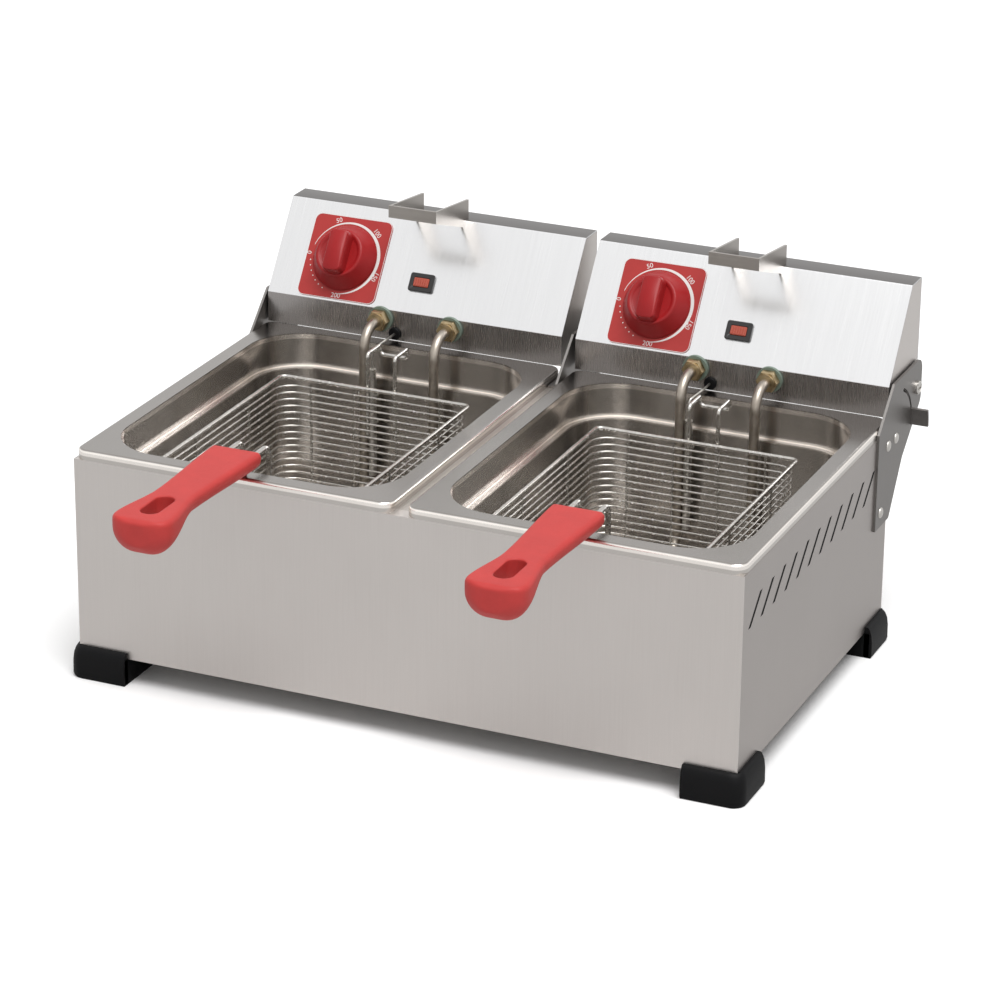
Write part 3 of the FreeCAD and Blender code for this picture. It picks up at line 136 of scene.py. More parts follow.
def moulded(name, colour, rough_low, rough_high, cells, relief, shine=0.5):
    """Moulded plastic or rubber: faint mottle, fine surface texture, uneven gloss."""
    material, tree, shader = new_material(name)
    broad = noise(tree, (60.0, 60.0, 60.0), 3.0)
    fine = noise(tree, (cells, cells, cells), 2.0)
    dark = tuple(0.9 * channel for channel in colour)
    tree.links.new(ramp(tree, broad, dark, colour), shader.inputs["Base Color"])
    tree.links.new(ramp(tree, fine, rough_low, rough_high), shader.inputs["Roughness"])
    shader.inputs["Specular IOR Level"].default_value = shine
    bump(tree, shader, fine, relief, 0.0002)
    return material


edge_margin = 0.009
slot_wall_shade = moulded("slot_wall_shade", (0.006, 0.006, 0.006), 0.7, 0.85, 1500.0, 0.1)
for side, sign in sides:
    name = "side_panel_" + side
    mesh = nodes[name].data.copy()
    mesh.materials.clear()
    piece(name + "_slotted", mesh, side_shade_steel, "cabinet", "brushed_steel", name)
    mesh.materials.append(slot_wall_shade)
    low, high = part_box(name)
    for polygon in mesh.polygons:
        spot = polygon.center
        inside = all(low[i] + edge_margin < spot[i] < high[i] - edge_margin for i in (1, 2))
        # Slot walls, inside the panel's margin and facing across it, get the black painted shade.
        if inside and abs(polygon.normal.x) < 0.5:
            polygon.material_index = 1

# Corner feet: black rubbery mouldings that cup the cabinet's lower corners. Their walls
# flare a little towards the floor, and round over at the top and at the outer corner.

front_face, lower_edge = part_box("front_panel")[0][1:]
half_width, cabinet_depth = 270.0, 327.0


def place(x, y, z):
    """Millimetres from the cabinet's front face and lower edge, as metres in the part's frame."""
    return Vector((x / 1000.0, y / 1000.0 + front_face, z / 1000.0 + lower_edge))


def mesh_of(name, bm, angle=35.0):
    """Close the edit of a mesh: normals outwards, smooth but for edges sharper than the angle."""
    bmesh.ops.recalc_face_normals(bm, faces=bm.faces)
    mesh = bpy.data.meshes.new(name)
    bm.to_mesh(mesh)
    bm.free()
    mesh.shade_smooth()
    mesh.set_sharp_from_angle(angle=math.radians(angle))
    return mesh


def loft(bm, rings, joined=False):
    """Extrude a ring of points from place to place. The ends are filled, or joined to each other."""
    first = corners = [bm.verts.new(point) for point in rings[0]]
    start = loop = [bm.edges.new(pair) for pair in zip(corners, corners[1:] + corners[:1])]
    for ring in rings[1:] + (rings[:1] if joined else []):
        drawn = bmesh.ops.extrude_edge_only(bm, edges=loop)["geom"]
        loop = [item for item in drawn if isinstance(item, bmesh.types.BMEdge)]
        fresh = {item for item in drawn if isinstance(item, bmesh.types.BMVert)}
        neighbours = [[edge.other_vert(corner) for edge in corner.link_edges] for corner in corners]
        corners = [next(vertex for vertex in near if vertex in fresh) for near in neighbours]
        for corner, point in zip(corners, ring):
            corner.co = point
    if joined:
        bmesh.ops.weld_verts(bm, targetmap=dict(zip(corners, first)))
    else:
        for end in (start, loop):
            bmesh.ops.edgeloop_fill(bm, edges=end)


black_rubber = moulded("black_rubber", (0.005, 0.005, 0.0055), 0.45, 0.6, 2600.0, 0.2, 0.12)


def foot_outline(x_sign, front, outer, wall, z):
    """One level of a foot: an L round the cabinet's corner, rounded on the outside."""
    far, corner = 41.5, 10.0
    points = []
    for k in range(9):
        turn = math.radians(90.0 * k / 8)
        points.append((outer - corner + corner * math.sin(turn), outer - corner + corner * math.cos(turn)))
    points += [(outer, -far), (wall, -far), (wall, wall), (-far, wall), (-far, outer)]
    ring = []
    for a, b in points:
        x = x_sign * (half_width + a)
        y = -b if front else cabinet_depth + b
        ring.append(place(x, y, z))
    return ring


cup_levels = ((6.0, -21.0), (6.9, -18.5), (6.8, -8.0), (6.2, -2.0), (5.0, 2.0), (3.6, 4.4), (2.6, 5.0))
pad_levels = ((4.5, -21.0), (4.4, -0.5))
cup_wall, pad_wall = 0.1, -41.4
for end, front in (("front", True), ("rear", False)):
    for side, sign in sides:
        bm = bmesh.new()
        for wall, levels in ((cup_wall, cup_levels), (pad_wall, pad_levels)):
            loft(bm, [foot_outline(sign, front, outer, wall, z) for outer, z in levels])
        name = f"foot_{end}_{side}"
        cup = mesh_of(name + "_cup", bm, 48.0)
        piece(name + "_cup", cup, black_rubber, "cabinet", "black_moulding", name)

# Foot screws: plated pan heads inside the cabinet, one above each foot. They hold the feet
# to the base plate and are hidden once the tanks are in.
plated = steel("plated_steel", (0.50, 0.48, 0.45), (0.62, 0.60, 0.57), 0.25, 0.36,
               (300.0, 300.0, 300.0), 0.05)
dress(plated, "foot_screws", "centre_pivot_pin")

# Oil tanks: pans pressed from one stainless sheet, with a turned-down lip, a stacking shoulder
# and a drawn well. They hang by their rims in the cabinet's open top and lift out.
tank_steel = steel("tank_steel", (0.53, 0.50, 0.47), (0.58, 0.55, 0.52), 0.20, 0.26,
                   (30.0, 30.0, 30.0), 0.02)


def tint_above(material, level, share, half_blend=0.0003):
    """Scale the base colour above a level, in metres, by a share."""
    tree = material.node_tree
    shader = tree.nodes["Principled BSDF"]
    source = shader.inputs["Base Color"].links[0].from_socket
    spot = tree.nodes.new("ShaderNodeTexCoord")
    split = tree.nodes.new("ShaderNodeSeparateXYZ")
    tree.links.new(spot.outputs["Object"], split.inputs["Vector"])
    band = tree.nodes.new("ShaderNodeMapRange")
    band.inputs["From Min"].default_value = level - half_blend
    band.inputs["From Max"].default_value = level + half_blend
    band.inputs["To Min"].default_value = 1.0
    band.inputs["To Max"].default_value = share
    tree.links.new(split.outputs["Z"], band.inputs["Value"])
    scaled = tree.nodes.new("ShaderNodeVectorMath")
    scaled.operation = "SCALE"
    tree.links.new(source, scaled.inputs[0])
    tree.links.new(band.outputs["Result"], scaled.inputs["Scale"])
    tree.links.new(scaled.outputs["Vector"], shader.inputs["Base Color"])


tank_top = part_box("tank_left")[1].z
shoulder_level = tank_top - 0.028
# Painted light on the tanks, by height: the rolled lip and the shoulder ledge are painted brighter as
# highlights, and the flat top of the flange is painted darker as shade.
highlight_gain = 1.7
tint_above(tank_steel, tank_top - 0.0045, highlight_gain)
tint_above(tank_steel, tank_top - 0.0007, 0.58 / highlight_gain)
tint_above(tank_steel, shoulder_level - 0.0012, highlight_gain)
tint_above(tank_steel, shoulder_level + 0.0006, 1.0 / highlight_gain)
dress(tank_steel, "tank_left", "tank_right")

# Brackets and lock levers: thicker stainless plate. The brackets are riveted to the cabinet's
# sides, and each lever turns on a rivet with its thumb tab bent out through a curved slot.
plate_steel = steel("plate_steel", (0.19, 0.18, 0.172), (0.23, 0.218, 0.21), 0.36, 0.44,
                    (900.0, 900.0, 20.0), 0.04)
dress(plate_steel, "bracket_left", "bracket_right", "centre_bracket", "lock_lever_left", "lock_lever_right")


def turned(bm, centre, axis, profile, steps=32, bored=False):
    """Spin (distance along the axis, radius) pairs about an axis. A bored piece's line is closed."""
    along = axis.normalized()
    across = along.orthogonal().normalized()
    points = [bm.verts.new(centre + along * reach + across * radius) for reach, radius in profile]
    following = points[1:] + points[:1] if bored else points[1:]
    line = [bm.edges.new(pair) for pair in zip(points, following)]
    bmesh.ops.spin(bm, geom=points + line, cent=centre, axis=along, angle=2.0 * math.pi, steps=steps,
                   use_merge=True)
    if not bored:
        bmesh.ops.holes_fill(bm, edges=[edge for edge in bm.edges if edge.is_boundary], sides=0)


def dome(radius, height, steps=6):
    """Profile of a low rounded head, from its seat to its crown."""
    rows = [(0.0, radius)]
    for k in range(1, steps):
        turn = math.radians(90.0 * k / steps)
        rows.append((height * math.sin(turn), radius * math.cos(turn)))
    rows.append((height, radius * 0.02))
    return rows


bracket_face = 272.0
rivet_places = ((306.0, 94.5), (318.0, 146.0), (337.0, 146.0))
bm = bmesh.new()
for side, sign in sides:
    for y, z in rivet_places:
        turned(bm, place(sign * bracket_face, y, z), Vector((sign, 0, 0)), dome(0.0044, 0.0018))
piece("rivet_heads", mesh_of("rivet_heads", bm), plated, "cabinet", "plated_steel", "bracket_rivets")

# Pivot screws: plated pan heads with a straight slot, one through each outer bracket. The heads
# tilt on their shanks.
screw_head = ((0.0, 0.0055), (0.0022, 0.0055), (0.0028, 0.0049), (0.003, 0.0042), (0.0018, 0.0040),
              (0.0018, 0.0001))
pivot_y, pivot_z = 384.0, 172.5
shank_length, shank_radius = 0.015, 0.0025
for side, sign in sides:
    bm = bmesh.new()
    centre = place(sign * bracket_face, pivot_y, pivot_z)
    outward = Vector((sign, 0, 0))
    turned(bm, centre, outward, [(-shank_length, shank_radius), (0.0, shank_radius)], 24)
    turned(bm, centre, outward, screw_head)
    slot_rows = [(-0.0041, -0.0006), (0.0041, -0.0006), (0.0041, 0.0006), (-0.0041, 0.0006)]
    for half in (-1, 1):
        lower = [centre + outward * 0.0017 + Vector((0, y, half * 0.0025 + z * 2.6)) for y, z in slot_rows]
        upper = [point + outward * 0.0011 for point in lower]
        loft(bm, [lower, upper])
    name = "pivot_screw_" + side
    piece(name + "_head", mesh_of(name + "_head", bm), plated, side + "_head", "plated_steel", name)

# Head covers: one brushed sheet folded into face, slope, top and back, with small bend radii.
# It drops over the tray, whose folded-up ends close the head and carry the pivots.
# The one folded sheet is drawn in lit and shaded copies of its steel: a pale copy with painted highlight on
# the slope, darker copies with painted shade on the top and the face, and the front panel's darker steel on
# the back.
slope_highlight_steel = steel("slope_highlight_steel", (0.745, 0.745, 0.75), (0.785, 0.785, 0.79), 0.22, 0.28,
                   (1400.0, 14.0, 14.0), 0.03)
top_shade_steel = steel("top_shade_steel", (0.15, 0.142, 0.138), (0.18, 0.172, 0.168), 0.30, 0.38,
                  (14.0, 1400.0, 1400.0), 0.05)
face_shade_steel = steel("face_shade_steel", (0.335, 0.315, 0.305), (0.36, 0.34, 0.33), 0.24, 0.30,
                   (1400.0, 14.0, 14.0), 0.012)


def bent_sheet(outline, radius, gauge, steps=5):
    """An open (y, z) line with its corners rounded, and the same line moved inwards by the gauge."""
    outer, inner = [], []
    for i, (y, z) in enumerate(outline):
        point = Vector((y, z))
        if i in (0, len(outline) - 1):
            other = Vector(outline[1] if i == 0 else outline[-2])
            run = (other - point).normalized() * (1 if i == 0 else -1)
            normal = Vector((run.y, -run.x))
            outer.append(point)
            inner.append(point + normal * gauge)
            continue
        before = (Vector(outline[i - 1]) - point).normalized()
        after = (Vector(outline[i + 1]) - point).normalized()
        half = before.angle(after) / 2.0
        middle = (before + after).normalized()
        centre = point + middle * (radius / math.sin(half))
        first = point + before * (radius / math.tan(half)) - centre
        last = point + after * (radius / math.tan(half)) - centre
        for k in range(steps + 1):
            spoke = first.slerp(last, k / steps).normalized()
            outer.append(centre + spoke * radius)
            inner.append(centre + spoke * (radius - gauge))
    return outer, inner


head_front, head_foot = 323.0, 166.8
slope_foot, slope_run, slope_rise = 192.3, 48.0, 68.5
head_back, head_top = 395.0, 260.8
head_inner, head_outer = 6.0, 268.5
cover_line = [(head_front, head_foot), (head_front, slope_foot), (head_front + slope_run, head_top),
              (head_back, head_top), (head_back, head_foot)]
bend_radius, cover_gauge = 2.2, 1.0
for side, sign in sides:
    outer, inner = bent_sheet(cover_line, bend_radius, cover_gauge)
    loop = outer + list(reversed(inner))
    ends = sorted((sign * head_inner, sign * head_outer))
    bm = bmesh.new()
    loft(bm, [[place(x, y, z) for y, z in loop] for x in ends])
    name = "head_cover_" + side
    sheet = mesh_of(name + "_sheet", bm, 25.0)
    piece(name + "_sheet", sheet, slope_highlight_steel, side + "_head", "brushed_steel", name)
    sheet.materials.append(top_shade_steel)
    sheet.materials.append(face_shade_steel)
    sheet.materials.append(panel_steel)
    # Each face of the sheet takes a painted-light copy by the way it faces: top, face or back.
    for polygon in sheet.polygons:
        if polygon.normal.z > 0.9:
            polygon.material_index = 1
        elif polygon.normal.y < -0.97:
            polygon.material_index = 2
        elif polygon.normal.y > 0.97:
            polygon.material_index = 3
    dress(panel_steel, "head_tray_" + side)

# Basket hangers: bent stainless strips on the heads' upper edges, a bar between two ears,
# spot welded to the cover. The baskets' hooks hang there to drain.
hanger_steel = steel("hanger_steel", (0.36, 0.335, 0.31), (0.41, 0.385, 0.36), 0.30, 0.38,
                     (14.0, 900.0, 900.0), 0.04)
dress(hanger_steel, "basket_hanger_left", "basket_hanger_right")

# Dial plates: red printed plates with rounded corners and a thin white edge, glued to the slope.
# The scale is a white arc that widens clockwise, with numbers round it and dots below.
slope_angle = math.atan2(slope_rise, slope_run)
head_middle = (head_inner + head_outer) / 2


def slope_frame(sign):
    """A head's sloping panel, in millimetres: X across from the head's middle, Y up, Z out."""
    foot = Matrix.Translation(place(sign * head_middle, head_front, slope_foot))
    return foot @ Matrix.Rotation(slope_angle, 4, "X") @ Matrix.Scale(0.001, 4)


def on_slope(sign, x, y, z):
    return slope_frame(sign) @ Vector((x, y, z))


def rounded(width, length, radius, steps=6):
    """Points round a rectangle with round corners."""
    points = []
    for a, b, start in ((1, 1, 0), (-1, 1, 90), (-1, -1, 180), (1, -1, 270)):
        for k in range(steps + 1):
            turn = math.radians(start + 90.0 * k / steps)
            points.append((a * (width / 2 - radius) + radius * math.cos(turn),
                           b * (length / 2 - radius) + radius * math.sin(turn)))
    return points


def slab(bm, sign, points, middle, low, high, edge=0.0):
    """A flat plate on the slope, its upper edge eased by a small chamfer."""
    rings = [[on_slope(sign, middle[0] + x, middle[1] + y, low) for x, y in points]]
    rings.append([on_slope(sign, middle[0] + x, middle[1] + y, high - edge) for x, y in points])
    if edge:
        small = []
        for x, y in points:
            reach = math.hypot(x, y)
            small.append((x * (1 - edge / reach), y * (1 - edge / reach)))
        rings.append([on_slope(sign, middle[0] + x, middle[1] + y, high) for x, y in small])
    loft(bm, rings)


dial_red = moulded("dial_red", (0.42, 0.039, 0.036), 0.40, 0.50, 1500.0, 0.03, 0.3)
print_white = moulded("print_white", (0.80, 0.78, 0.76), 0.45, 0.55, 1500.0, 0.02)
dial_middle = (-70.5, 37.0)
plate_width, plate_length, plate_corner, plate_gauge = 70.0, 71.0, 6.0, 1.0
print_base, print_top = 0.99, 1.04
line_outer, line_inner = 0.1, 0.5
arc_radius, arc_start, arc_sweep = 30.9, 165.0, 255.0
arc_thin, arc_swell = 0.4, 2.3
dots_radius, dot_radius, dot_count, dot_start, dot_step = 30.5, 0.55, 7, 190.0, 9.0


def plate_line(inset):
    """The plate's outline, moved in from its edge."""
    return rounded(plate_width - 2 * inset, plate_length - 2 * inset, plate_corner - inset)


def on_dial(sign, points, height):
    """Points about the dial's middle, at a height over the slope."""
    return [on_slope(sign, dial_middle[0] + x, dial_middle[1] + y, height) for x, y in points]


def dial_print(bm, sign):
    """The white edge line, the widening arc, and the dots between the scale's two ends."""
    rows = ((line_inner, print_base), (line_outer, print_base),
            (line_outer, print_top), (line_inner, print_top))
    loft(bm, [on_dial(sign, plate_line(inset), z) for inset, z in rows], joined=True)
    steps = 60
    wide, thin = [], []
    for k in range(steps + 1):
        share = k / steps
        turn = math.radians(arc_start - arc_sweep * share)
        width = arc_thin + arc_swell * math.sin(math.pi * share ** 1.4)
        for row, radius in ((wide, arc_radius), (thin, arc_radius - width)):
            row.append((radius * math.cos(turn), radius * math.sin(turn)))
    arc = wide + list(reversed(thin))
    loft(bm, [on_dial(sign, arc, z) for z in (print_base, print_top)])
    for k in range(dot_count):
        turn = math.radians(dot_start + dot_step * k)
        spot = []
        for i in range(8):
            a = 2.0 * math.pi * i / 8
            spot.append((dots_radius * math.cos(turn) + dot_radius * math.cos(a),
                         dots_radius * math.sin(turn) + dot_radius * math.sin(a)))
        loft(bm, [on_dial(sign, spot, z) for z in (print_base, print_top)])


def number_mesh(text, size):
    """The outlines of a plain number, as a flat mesh about its own middle."""
    curve = bpy.data.curves.new("number_" + text, "FONT")
    curve.body = text
    curve.size = size
    curve.align_x = "CENTER"
    curve.align_y = "CENTER"
    holder = bpy.data.objects.new("number_" + text, curve)
    mesh = bpy.data.meshes.new_from_object(holder)
    bpy.data.objects.remove(holder)
    bpy.data.curves.remove(curve)
    return mesh


scale_numbers = (("0", -32.4, 0.5), ("50", -13.5, 31.0), ("100", 22.6, 24.6), ("150", 30.4, -11.8),
                 ("200", 0.0, -32.3))
number_size = 5.6
for side, sign in sides:
    bm = bmesh.new()
    slab(bm, sign, plate_line(0.0), dial_middle, 0.0, plate_gauge, 0.15)
    name = "dial_plate_" + side
    piece(name + "_field", mesh_of(name + "_field", bm), dial_red, side + "_head", "dial_red", name)
    bm = bmesh.new()
    dial_print(bm, sign)
    for text, x0, y0 in scale_numbers:
        flat = number_mesh(text, number_size)
        heading = math.atan2(y0, x0) - math.pi / 2 if x0 * y0 else 0.0
        spot = Matrix.Translation((dial_middle[0] + x0, dial_middle[1] + y0, print_top))
        flat.transform(slope_frame(sign) @ spot @ Matrix.Rotation(heading, 4, "Z"))
        bm.from_mesh(flat)
        bpy.data.meshes.remove(flat)
    piece("dial_scale_" + side, mesh_of("dial_scale_" + side, bm), print_white, side + "_head", "dial_red")

# Indicator lamps: black snap-in bezels with ribbed orange-red lenses, pushed into square holes
# in the slope so that their flanges lie on the sheet.
black_plastic = moulded("black_plastic", (0.014, 0.013, 0.013), 0.30, 0.42, 1800.0, 0.08)
lens_orange = moulded("lens_orange", (0.42, 0.085, 0.055), 0.25, 0.32, 900.0, 0.03)
lens_shader = lens_orange.node_tree.nodes["Principled BSDF"]
# The faint orange emission is a painted glow: the lens has no light behind it.
lens_shader.inputs["Emission Color"].default_value = (0.9, 0.10, 0.02, 1.0)
lens_shader.inputs["Emission Strength"].default_value = 0.06
lamp_middle = (1.7, 26.0)
rib_count, rib_pitch = 6, 2.0
for side, sign in sides:
    bm = bmesh.new()
    outer, inner = rounded(21.4, 15.6, 2.0), rounded(13.4, 7.6, 0.6)
    rows = ((outer, 0.0), (outer, 1.9), (rounded(20.4, 14.6, 1.6), 2.5), (rounded(14.4, 8.6, 0.8), 2.5),
            (inner, 2.1), (inner, 1.3))
    lamp_x, lamp_y = lamp_middle
    loft(bm, [[on_slope(sign, lamp_x + x, lamp_y + y, z) for x, y in row] for row, z in rows])
    name = "lamp_bezel_" + side
    bezel = mesh_of(name + "_frame", bm)
    piece(name + "_frame", bezel, black_plastic, side + "_head", "black_moulding", name)
    bm = bmesh.new()
    slab(bm, sign, rounded(13.2, 7.4, 0.8), lamp_middle, 1.3, 2.9, 0.3)
    for k in range(rib_count):
        rib_x = lamp_middle[0] + rib_pitch * (k - (rib_count - 1) / 2)
        slab(bm, sign, rounded(1.3, 6.4, 0.4), (rib_x, lamp_middle[1]), 2.8, 3.4, 0.25)
    name = "lamp_lens_" + side
    piece(name + "_ribs", mesh_of(name + "_ribs", bm), lens_orange, side + "_head", "lamp_orange", name)

# Thermostat, terminal block and cord gland: dark mouldings in and behind each head. Only the
# gland shows, screwed into the back of the cover.
dress(black_plastic, "thermostat_left", "thermostat_right", "terminal_block_left", "terminal_block_right")
gland_profile = ((0.0, 0.0110), (0.003, 0.0110), (0.0035, 0.0096), (0.011, 0.0088), (0.014, 0.0070),
                 (0.014, 0.0040), (-0.006, 0.0040), (-0.006, 0.0078), (0.0, 0.0078))
gland_x, gland_z = 70.0, 196.8
for side, sign in sides:
    bm = bmesh.new()
    centre = place(sign * head_middle + gland_x, head_back, gland_z)
    back = Vector((0.0, 1.0, 0.0))
    turned(bm, centre, back, gland_profile, 40, bored=True)
    for k in range(6):
        turn = math.radians(60.0 * k)
        spoke = Vector((math.cos(turn), 0.0, math.sin(turn)))
        side_way = Vector((-math.sin(turn), 0.0, math.cos(turn)))
        lower = [centre + back * 0.0035 + spoke * (0.0088 + a) + side_way * b
                 for a, b in ((0.0, -0.0012), (0.0009, -0.0008), (0.0009, 0.0008), (0.0, 0.0012))]
        loft(bm, [lower, [point + back * 0.006 for point in lower]])
    name = "cord_gland_" + side
    piece(name + "_cap", mesh_of(name + "_cap", bm), black_plastic, side + "_head", "black_moulding", name)

# Knobs: glossy dark red mouldings, a round skirt with a dished face and a broad faceted grip bar
# with a pointer notch, pushed on to the thermostat's stem.
knob_red = moulded("knob_red", (0.34, 0.0115, 0.0135), 0.34, 0.44, 1400.0, 0.04, 0.3)
skirt = ((1.8, 27.4), (2.4, 27.7), (3.2, 27.2), (14.6, 20.8), (15.4, 20.1), (15.8, 19.2), (15.7, 17.4),
         (14.6, 16.3), (14.3, 15.4), (14.3, 0.3))
stem = ((-0.011, 0.003), (0.0025, 0.003))
grip_rows = ((19.0, 38.0, 6.0, 8.8), (17.8, 37.0, 5.4, 16.0), (16.6, 35.8, 4.8, 22.0),
             (15.6, 34.8, 4.2, 24.0), (14.0, 33.2, 3.4, 24.8))
notch_depth, notch_half, notch_foot = 1.6, 1.5, 15.0
for side, sign in sides:
    bm = bmesh.new()
    middle = on_slope(sign, dial_middle[0], dial_middle[1], 0.0)
    outward = on_slope(sign, 0.0, 0.0, 1.0) - on_slope(sign, 0.0, 0.0, 0.0)
    turned(bm, middle, outward, [(a / 1000.0, b / 1000.0) for a, b in skirt], 72)
    turned(bm, middle, outward, stem, 24)
    rings = []
    for width, length, radius, height in grip_rows:
        ring = []
        for x, y in rounded(width, length, radius, 8):
            notched = y > 0.3 * length and height > notch_foot
            notch = notch_depth * math.exp(-(x / notch_half) ** 2) if notched else 0.0
            ring.append(on_slope(sign, dial_middle[0] + x, dial_middle[1] + y - notch, height))
        rings.append(ring)
    loft(bm, rings)
    name = "knob_" + side
    moulding = mesh_of(name + "_moulding", bm, 50.0)
    piece(name + "_moulding", moulding, knob_red, side + "_knob", "knob_red", name)

# Heating elements: bent stainless-sheathed tubes, heat-tinted a warm grey. Brass nuts clamp their
# legs to the head's face over fibre gaskets.
element_steel = steel("element_steel", (0.30, 0.26, 0.22), (0.44, 0.40, 0.35), 0.30, 0.44,
                      (160.0, 160.0, 160.0), 0.06)
dress(element_steel, "heating_element_left", "heating_element_right")
fibre = moulded("gasket_fibre", (0.17, 0.22, 0.18), 0.6, 0.8, 1600.0, 0.2)
dress(fibre, "element_gaskets_left", "element_gaskets_right")
brass, tree, shader = new_material("nut_brass")
shader.inputs["Metallic"].default_value = 1.0
stain = noise(tree, (180.0, 180.0, 180.0), 4.0)
tree.links.new(ramp(tree, stain, (0.30, 0.22, 0.12), (0.54, 0.43, 0.26)), shader.inputs["Base Color"])
tree.links.new(ramp(tree, stain, 0.26, 0.42), shader.inputs["Roughness"])
bump(tree, shader, stain, 0.06, 0.0002)
nut_rows = ((0.0, 1.0, None), (-5.6, 1.0, None), (-6.6, 0.93, None), (-6.6, 0.0, 7.2),
            (-8.0, 0.0, 6.9), (-8.0, 0.0, 4.05), (0.0, 0.0, 4.05))
nut_half, nut_seat, leg_half_gap, leg_height, element_offset = 8.0, 320.0, 31.0, 184.0, 3.0
for side, sign in sides:
    bm = bmesh.new()
    for end in (-1, 1):
        seat = place(sign * head_middle + element_offset + end * leg_half_gap, nut_seat, leg_height)
        rings = []
        for reach, grow, radius in nut_rows:
            ring = []
            for k in range(36):
                turn = math.radians(10.0 * k)
                local = math.radians((10.0 * k) % 60.0 - 30.0)
                size = radius if radius else grow * nut_half / math.cos(local)
                ring.append(seat + Vector((size * math.cos(turn), reach, size * math.sin(turn))) / 1000.0)
            rings.append(ring)
        loft(bm, rings, joined=True)
    name = "element_nuts_" + side
    piece(name + "_hex", mesh_of(name + "_hex", bm), brass, side + "_head", "nut_brass", name)

# Thermostat bulbs: plated copper cylinders tied to the elements' legs with wire, each with a thin
# capillary that enters the head through a black rubber grommet.
dress(plated, "thermostat_bulb_left", "thermostat_bulb_right")
grommet_profile = ((-0.005, 0.0034), (0.0, 0.0034), (0.0, 0.0048), (0.0005, 0.0052), (0.0015, 0.0052),
                   (0.0023, 0.0046), (0.0025, 0.0036), (0.0022, 0.00105), (-0.005, 0.00105))
grommet_x, grommet_z = -15.5, 172.7
for side, sign in sides:
    bm = bmesh.new()
    hole = place(sign * head_middle + grommet_x, head_front, grommet_z)
    forward = Vector((0.0, -1.0, 0.0))
    turned(bm, hole, forward, grommet_profile, bored=True)
    name = "capillary_grommet_" + side
    piece(name + "_ring", mesh_of(name + "_ring", bm), black_rubber, side + "_head", "grommet_black", name)

# Basket cages: bright plated round wire, spot welded. Close horizontal rings with rounded corners
# are held by a few uprights that run down the walls and under the floor.
wire_metal = steel("basket_wire", (0.46, 0.44, 0.41), (0.60, 0.58, 0.55), 0.18, 0.30,
                   (400.0, 400.0, 400.0), 0.04)


def wire(bm, points, radius, closed=False, count=7):
    """A round wire along points, with its section square to the run at every point."""
    total = len(points)
    rings = []
    guide = None
    for i, point in enumerate(points):
        before = points[i - 1] if closed or i else point
        after = points[(i + 1) % total] if closed or i < total - 1 else point
        along = (after - before).normalized()
        if guide is None:
            guide = along.orthogonal().normalized()
        guide = (guide - along * guide.dot(along)).normalized()
        other = along.cross(guide)
        rings.append([point + (guide * math.cos(2.0 * math.pi * k / count)
                               + other * math.sin(2.0 * math.pi * k / count)) * radius for k in range(count)])
    loft(bm, rings, joined=closed)


def rounded_route(points, radius, steps=5):
    """Points along straight runs with arcs at the corners between them."""
    route = [points[0]]
    for before, corner, after in zip(points, points[1:], points[2:]):
        back = (before - corner).normalized()
        on = (after - corner).normalized()
        half = back.angle(on) / 2.0
        centre = corner + (back + on).normalized() * (radius / math.sin(half))
        first = (corner + back * (radius / math.tan(half)) - centre).normalized()
        last = (corner + on * (radius / math.tan(half)) - centre).normalized()
        route += [centre + first.slerp(last, k / steps) * radius for k in range(steps + 1)]
    return route + [points[-1]]


rim_z, floor_z = 149.0, 47.5
basket_x, basket_y = 137.7, 149.75
cage_width, cage_length, cage_corner = 165.4, 204.9, 16.0
thin_wire, thick_wire, wire_bend = 0.0009, 0.0011, 0.006
ring_count, top_ring, low_ring = 16, rim_z - 6.5, floor_z + 3.0
upright_top, cross_floor = rim_z - 1.0, floor_z + 2.1
long_places, long_half = (-57.0, -19.0, 19.0, 57.0), 102.7
cross_places, cross_half = (-47.0, 43.0), 83.0
floor_count, floor_start, floor_pitch, floor_half = 24, -92.0, 8.0, 82.0
for side, sign in sides:
    middle_x, middle_y = sign * basket_x, basket_y
    bm = bmesh.new()
    for k in range(ring_count + 1):
        z = top_ring - (top_ring - low_ring) * k / ring_count
        outline = rounded(cage_width, cage_length, cage_corner, 8)
        wire(bm, [place(middle_x + x, middle_y + y, z) for x, y in outline], thin_wire, True)
    for x in long_places:
        run = [(-long_half, upright_top), (-long_half, floor_z), (long_half, floor_z),
               (long_half, upright_top)]
        points = [place(middle_x + x, middle_y + y, z) for y, z in run]
        wire(bm, rounded_route(points, wire_bend), thick_wire)
    for y in cross_places:
        run = [(-cross_half, upright_top), (-cross_half, cross_floor), (cross_half, cross_floor),
               (cross_half, upright_top)]
        points = [place(middle_x + x, middle_y + y, z) for x, z in run]
        wire(bm, rounded_route(points, wire_bend), thick_wire)
    for k in range(floor_count):
        y = middle_y + floor_start + floor_pitch * k
        wire(bm, [place(middle_x + x, y, floor_z + 1.0) for x in (-floor_half, floor_half)], thin_wire)
    name = "basket_cage_" + side
    cage = mesh_of(name + "_wires", bm, 60.0)
    piece(name + "_wires", cage, wire_metal, side + "_basket", "basket_wire", name)

# Basket frames: heavier plated wire. A rim ring, the drain hook at the back and the tang whose
# two legs go into the handle.
dress(wire_metal, "basket_frame_left", "basket_frame_right")

# Basket handles: matt red mouldings on the tangs, flat on top with soft edges, waisted, with a
# deep rounded nose, a hanging hole and a lug that rests on the tank's rim.
handle_red = moulded("handle_red", (0.53, 0.043, 0.039), 0.46, 0.58, 1300.0, 0.08, 0.35)
handle_top, tip_y = 184.5, -145.0
hole_reach, hole_width, hole_length = 34.0, 15.0, 36.0
voxel = 0.0007


def between(value, *stops):
    """A smooth step from stop to stop: (place, amount) pairs in rising order of place."""
    if value <= stops[0][0]:
        return stops[0][1]
    for (a, low), (b, high) in zip(stops, stops[1:]):
        if value <= b:
            share = (value - a) / (b - a)
            return low + (high - low) * share * share * (3.0 - 2.0 * share)
    return stops[-1][1]


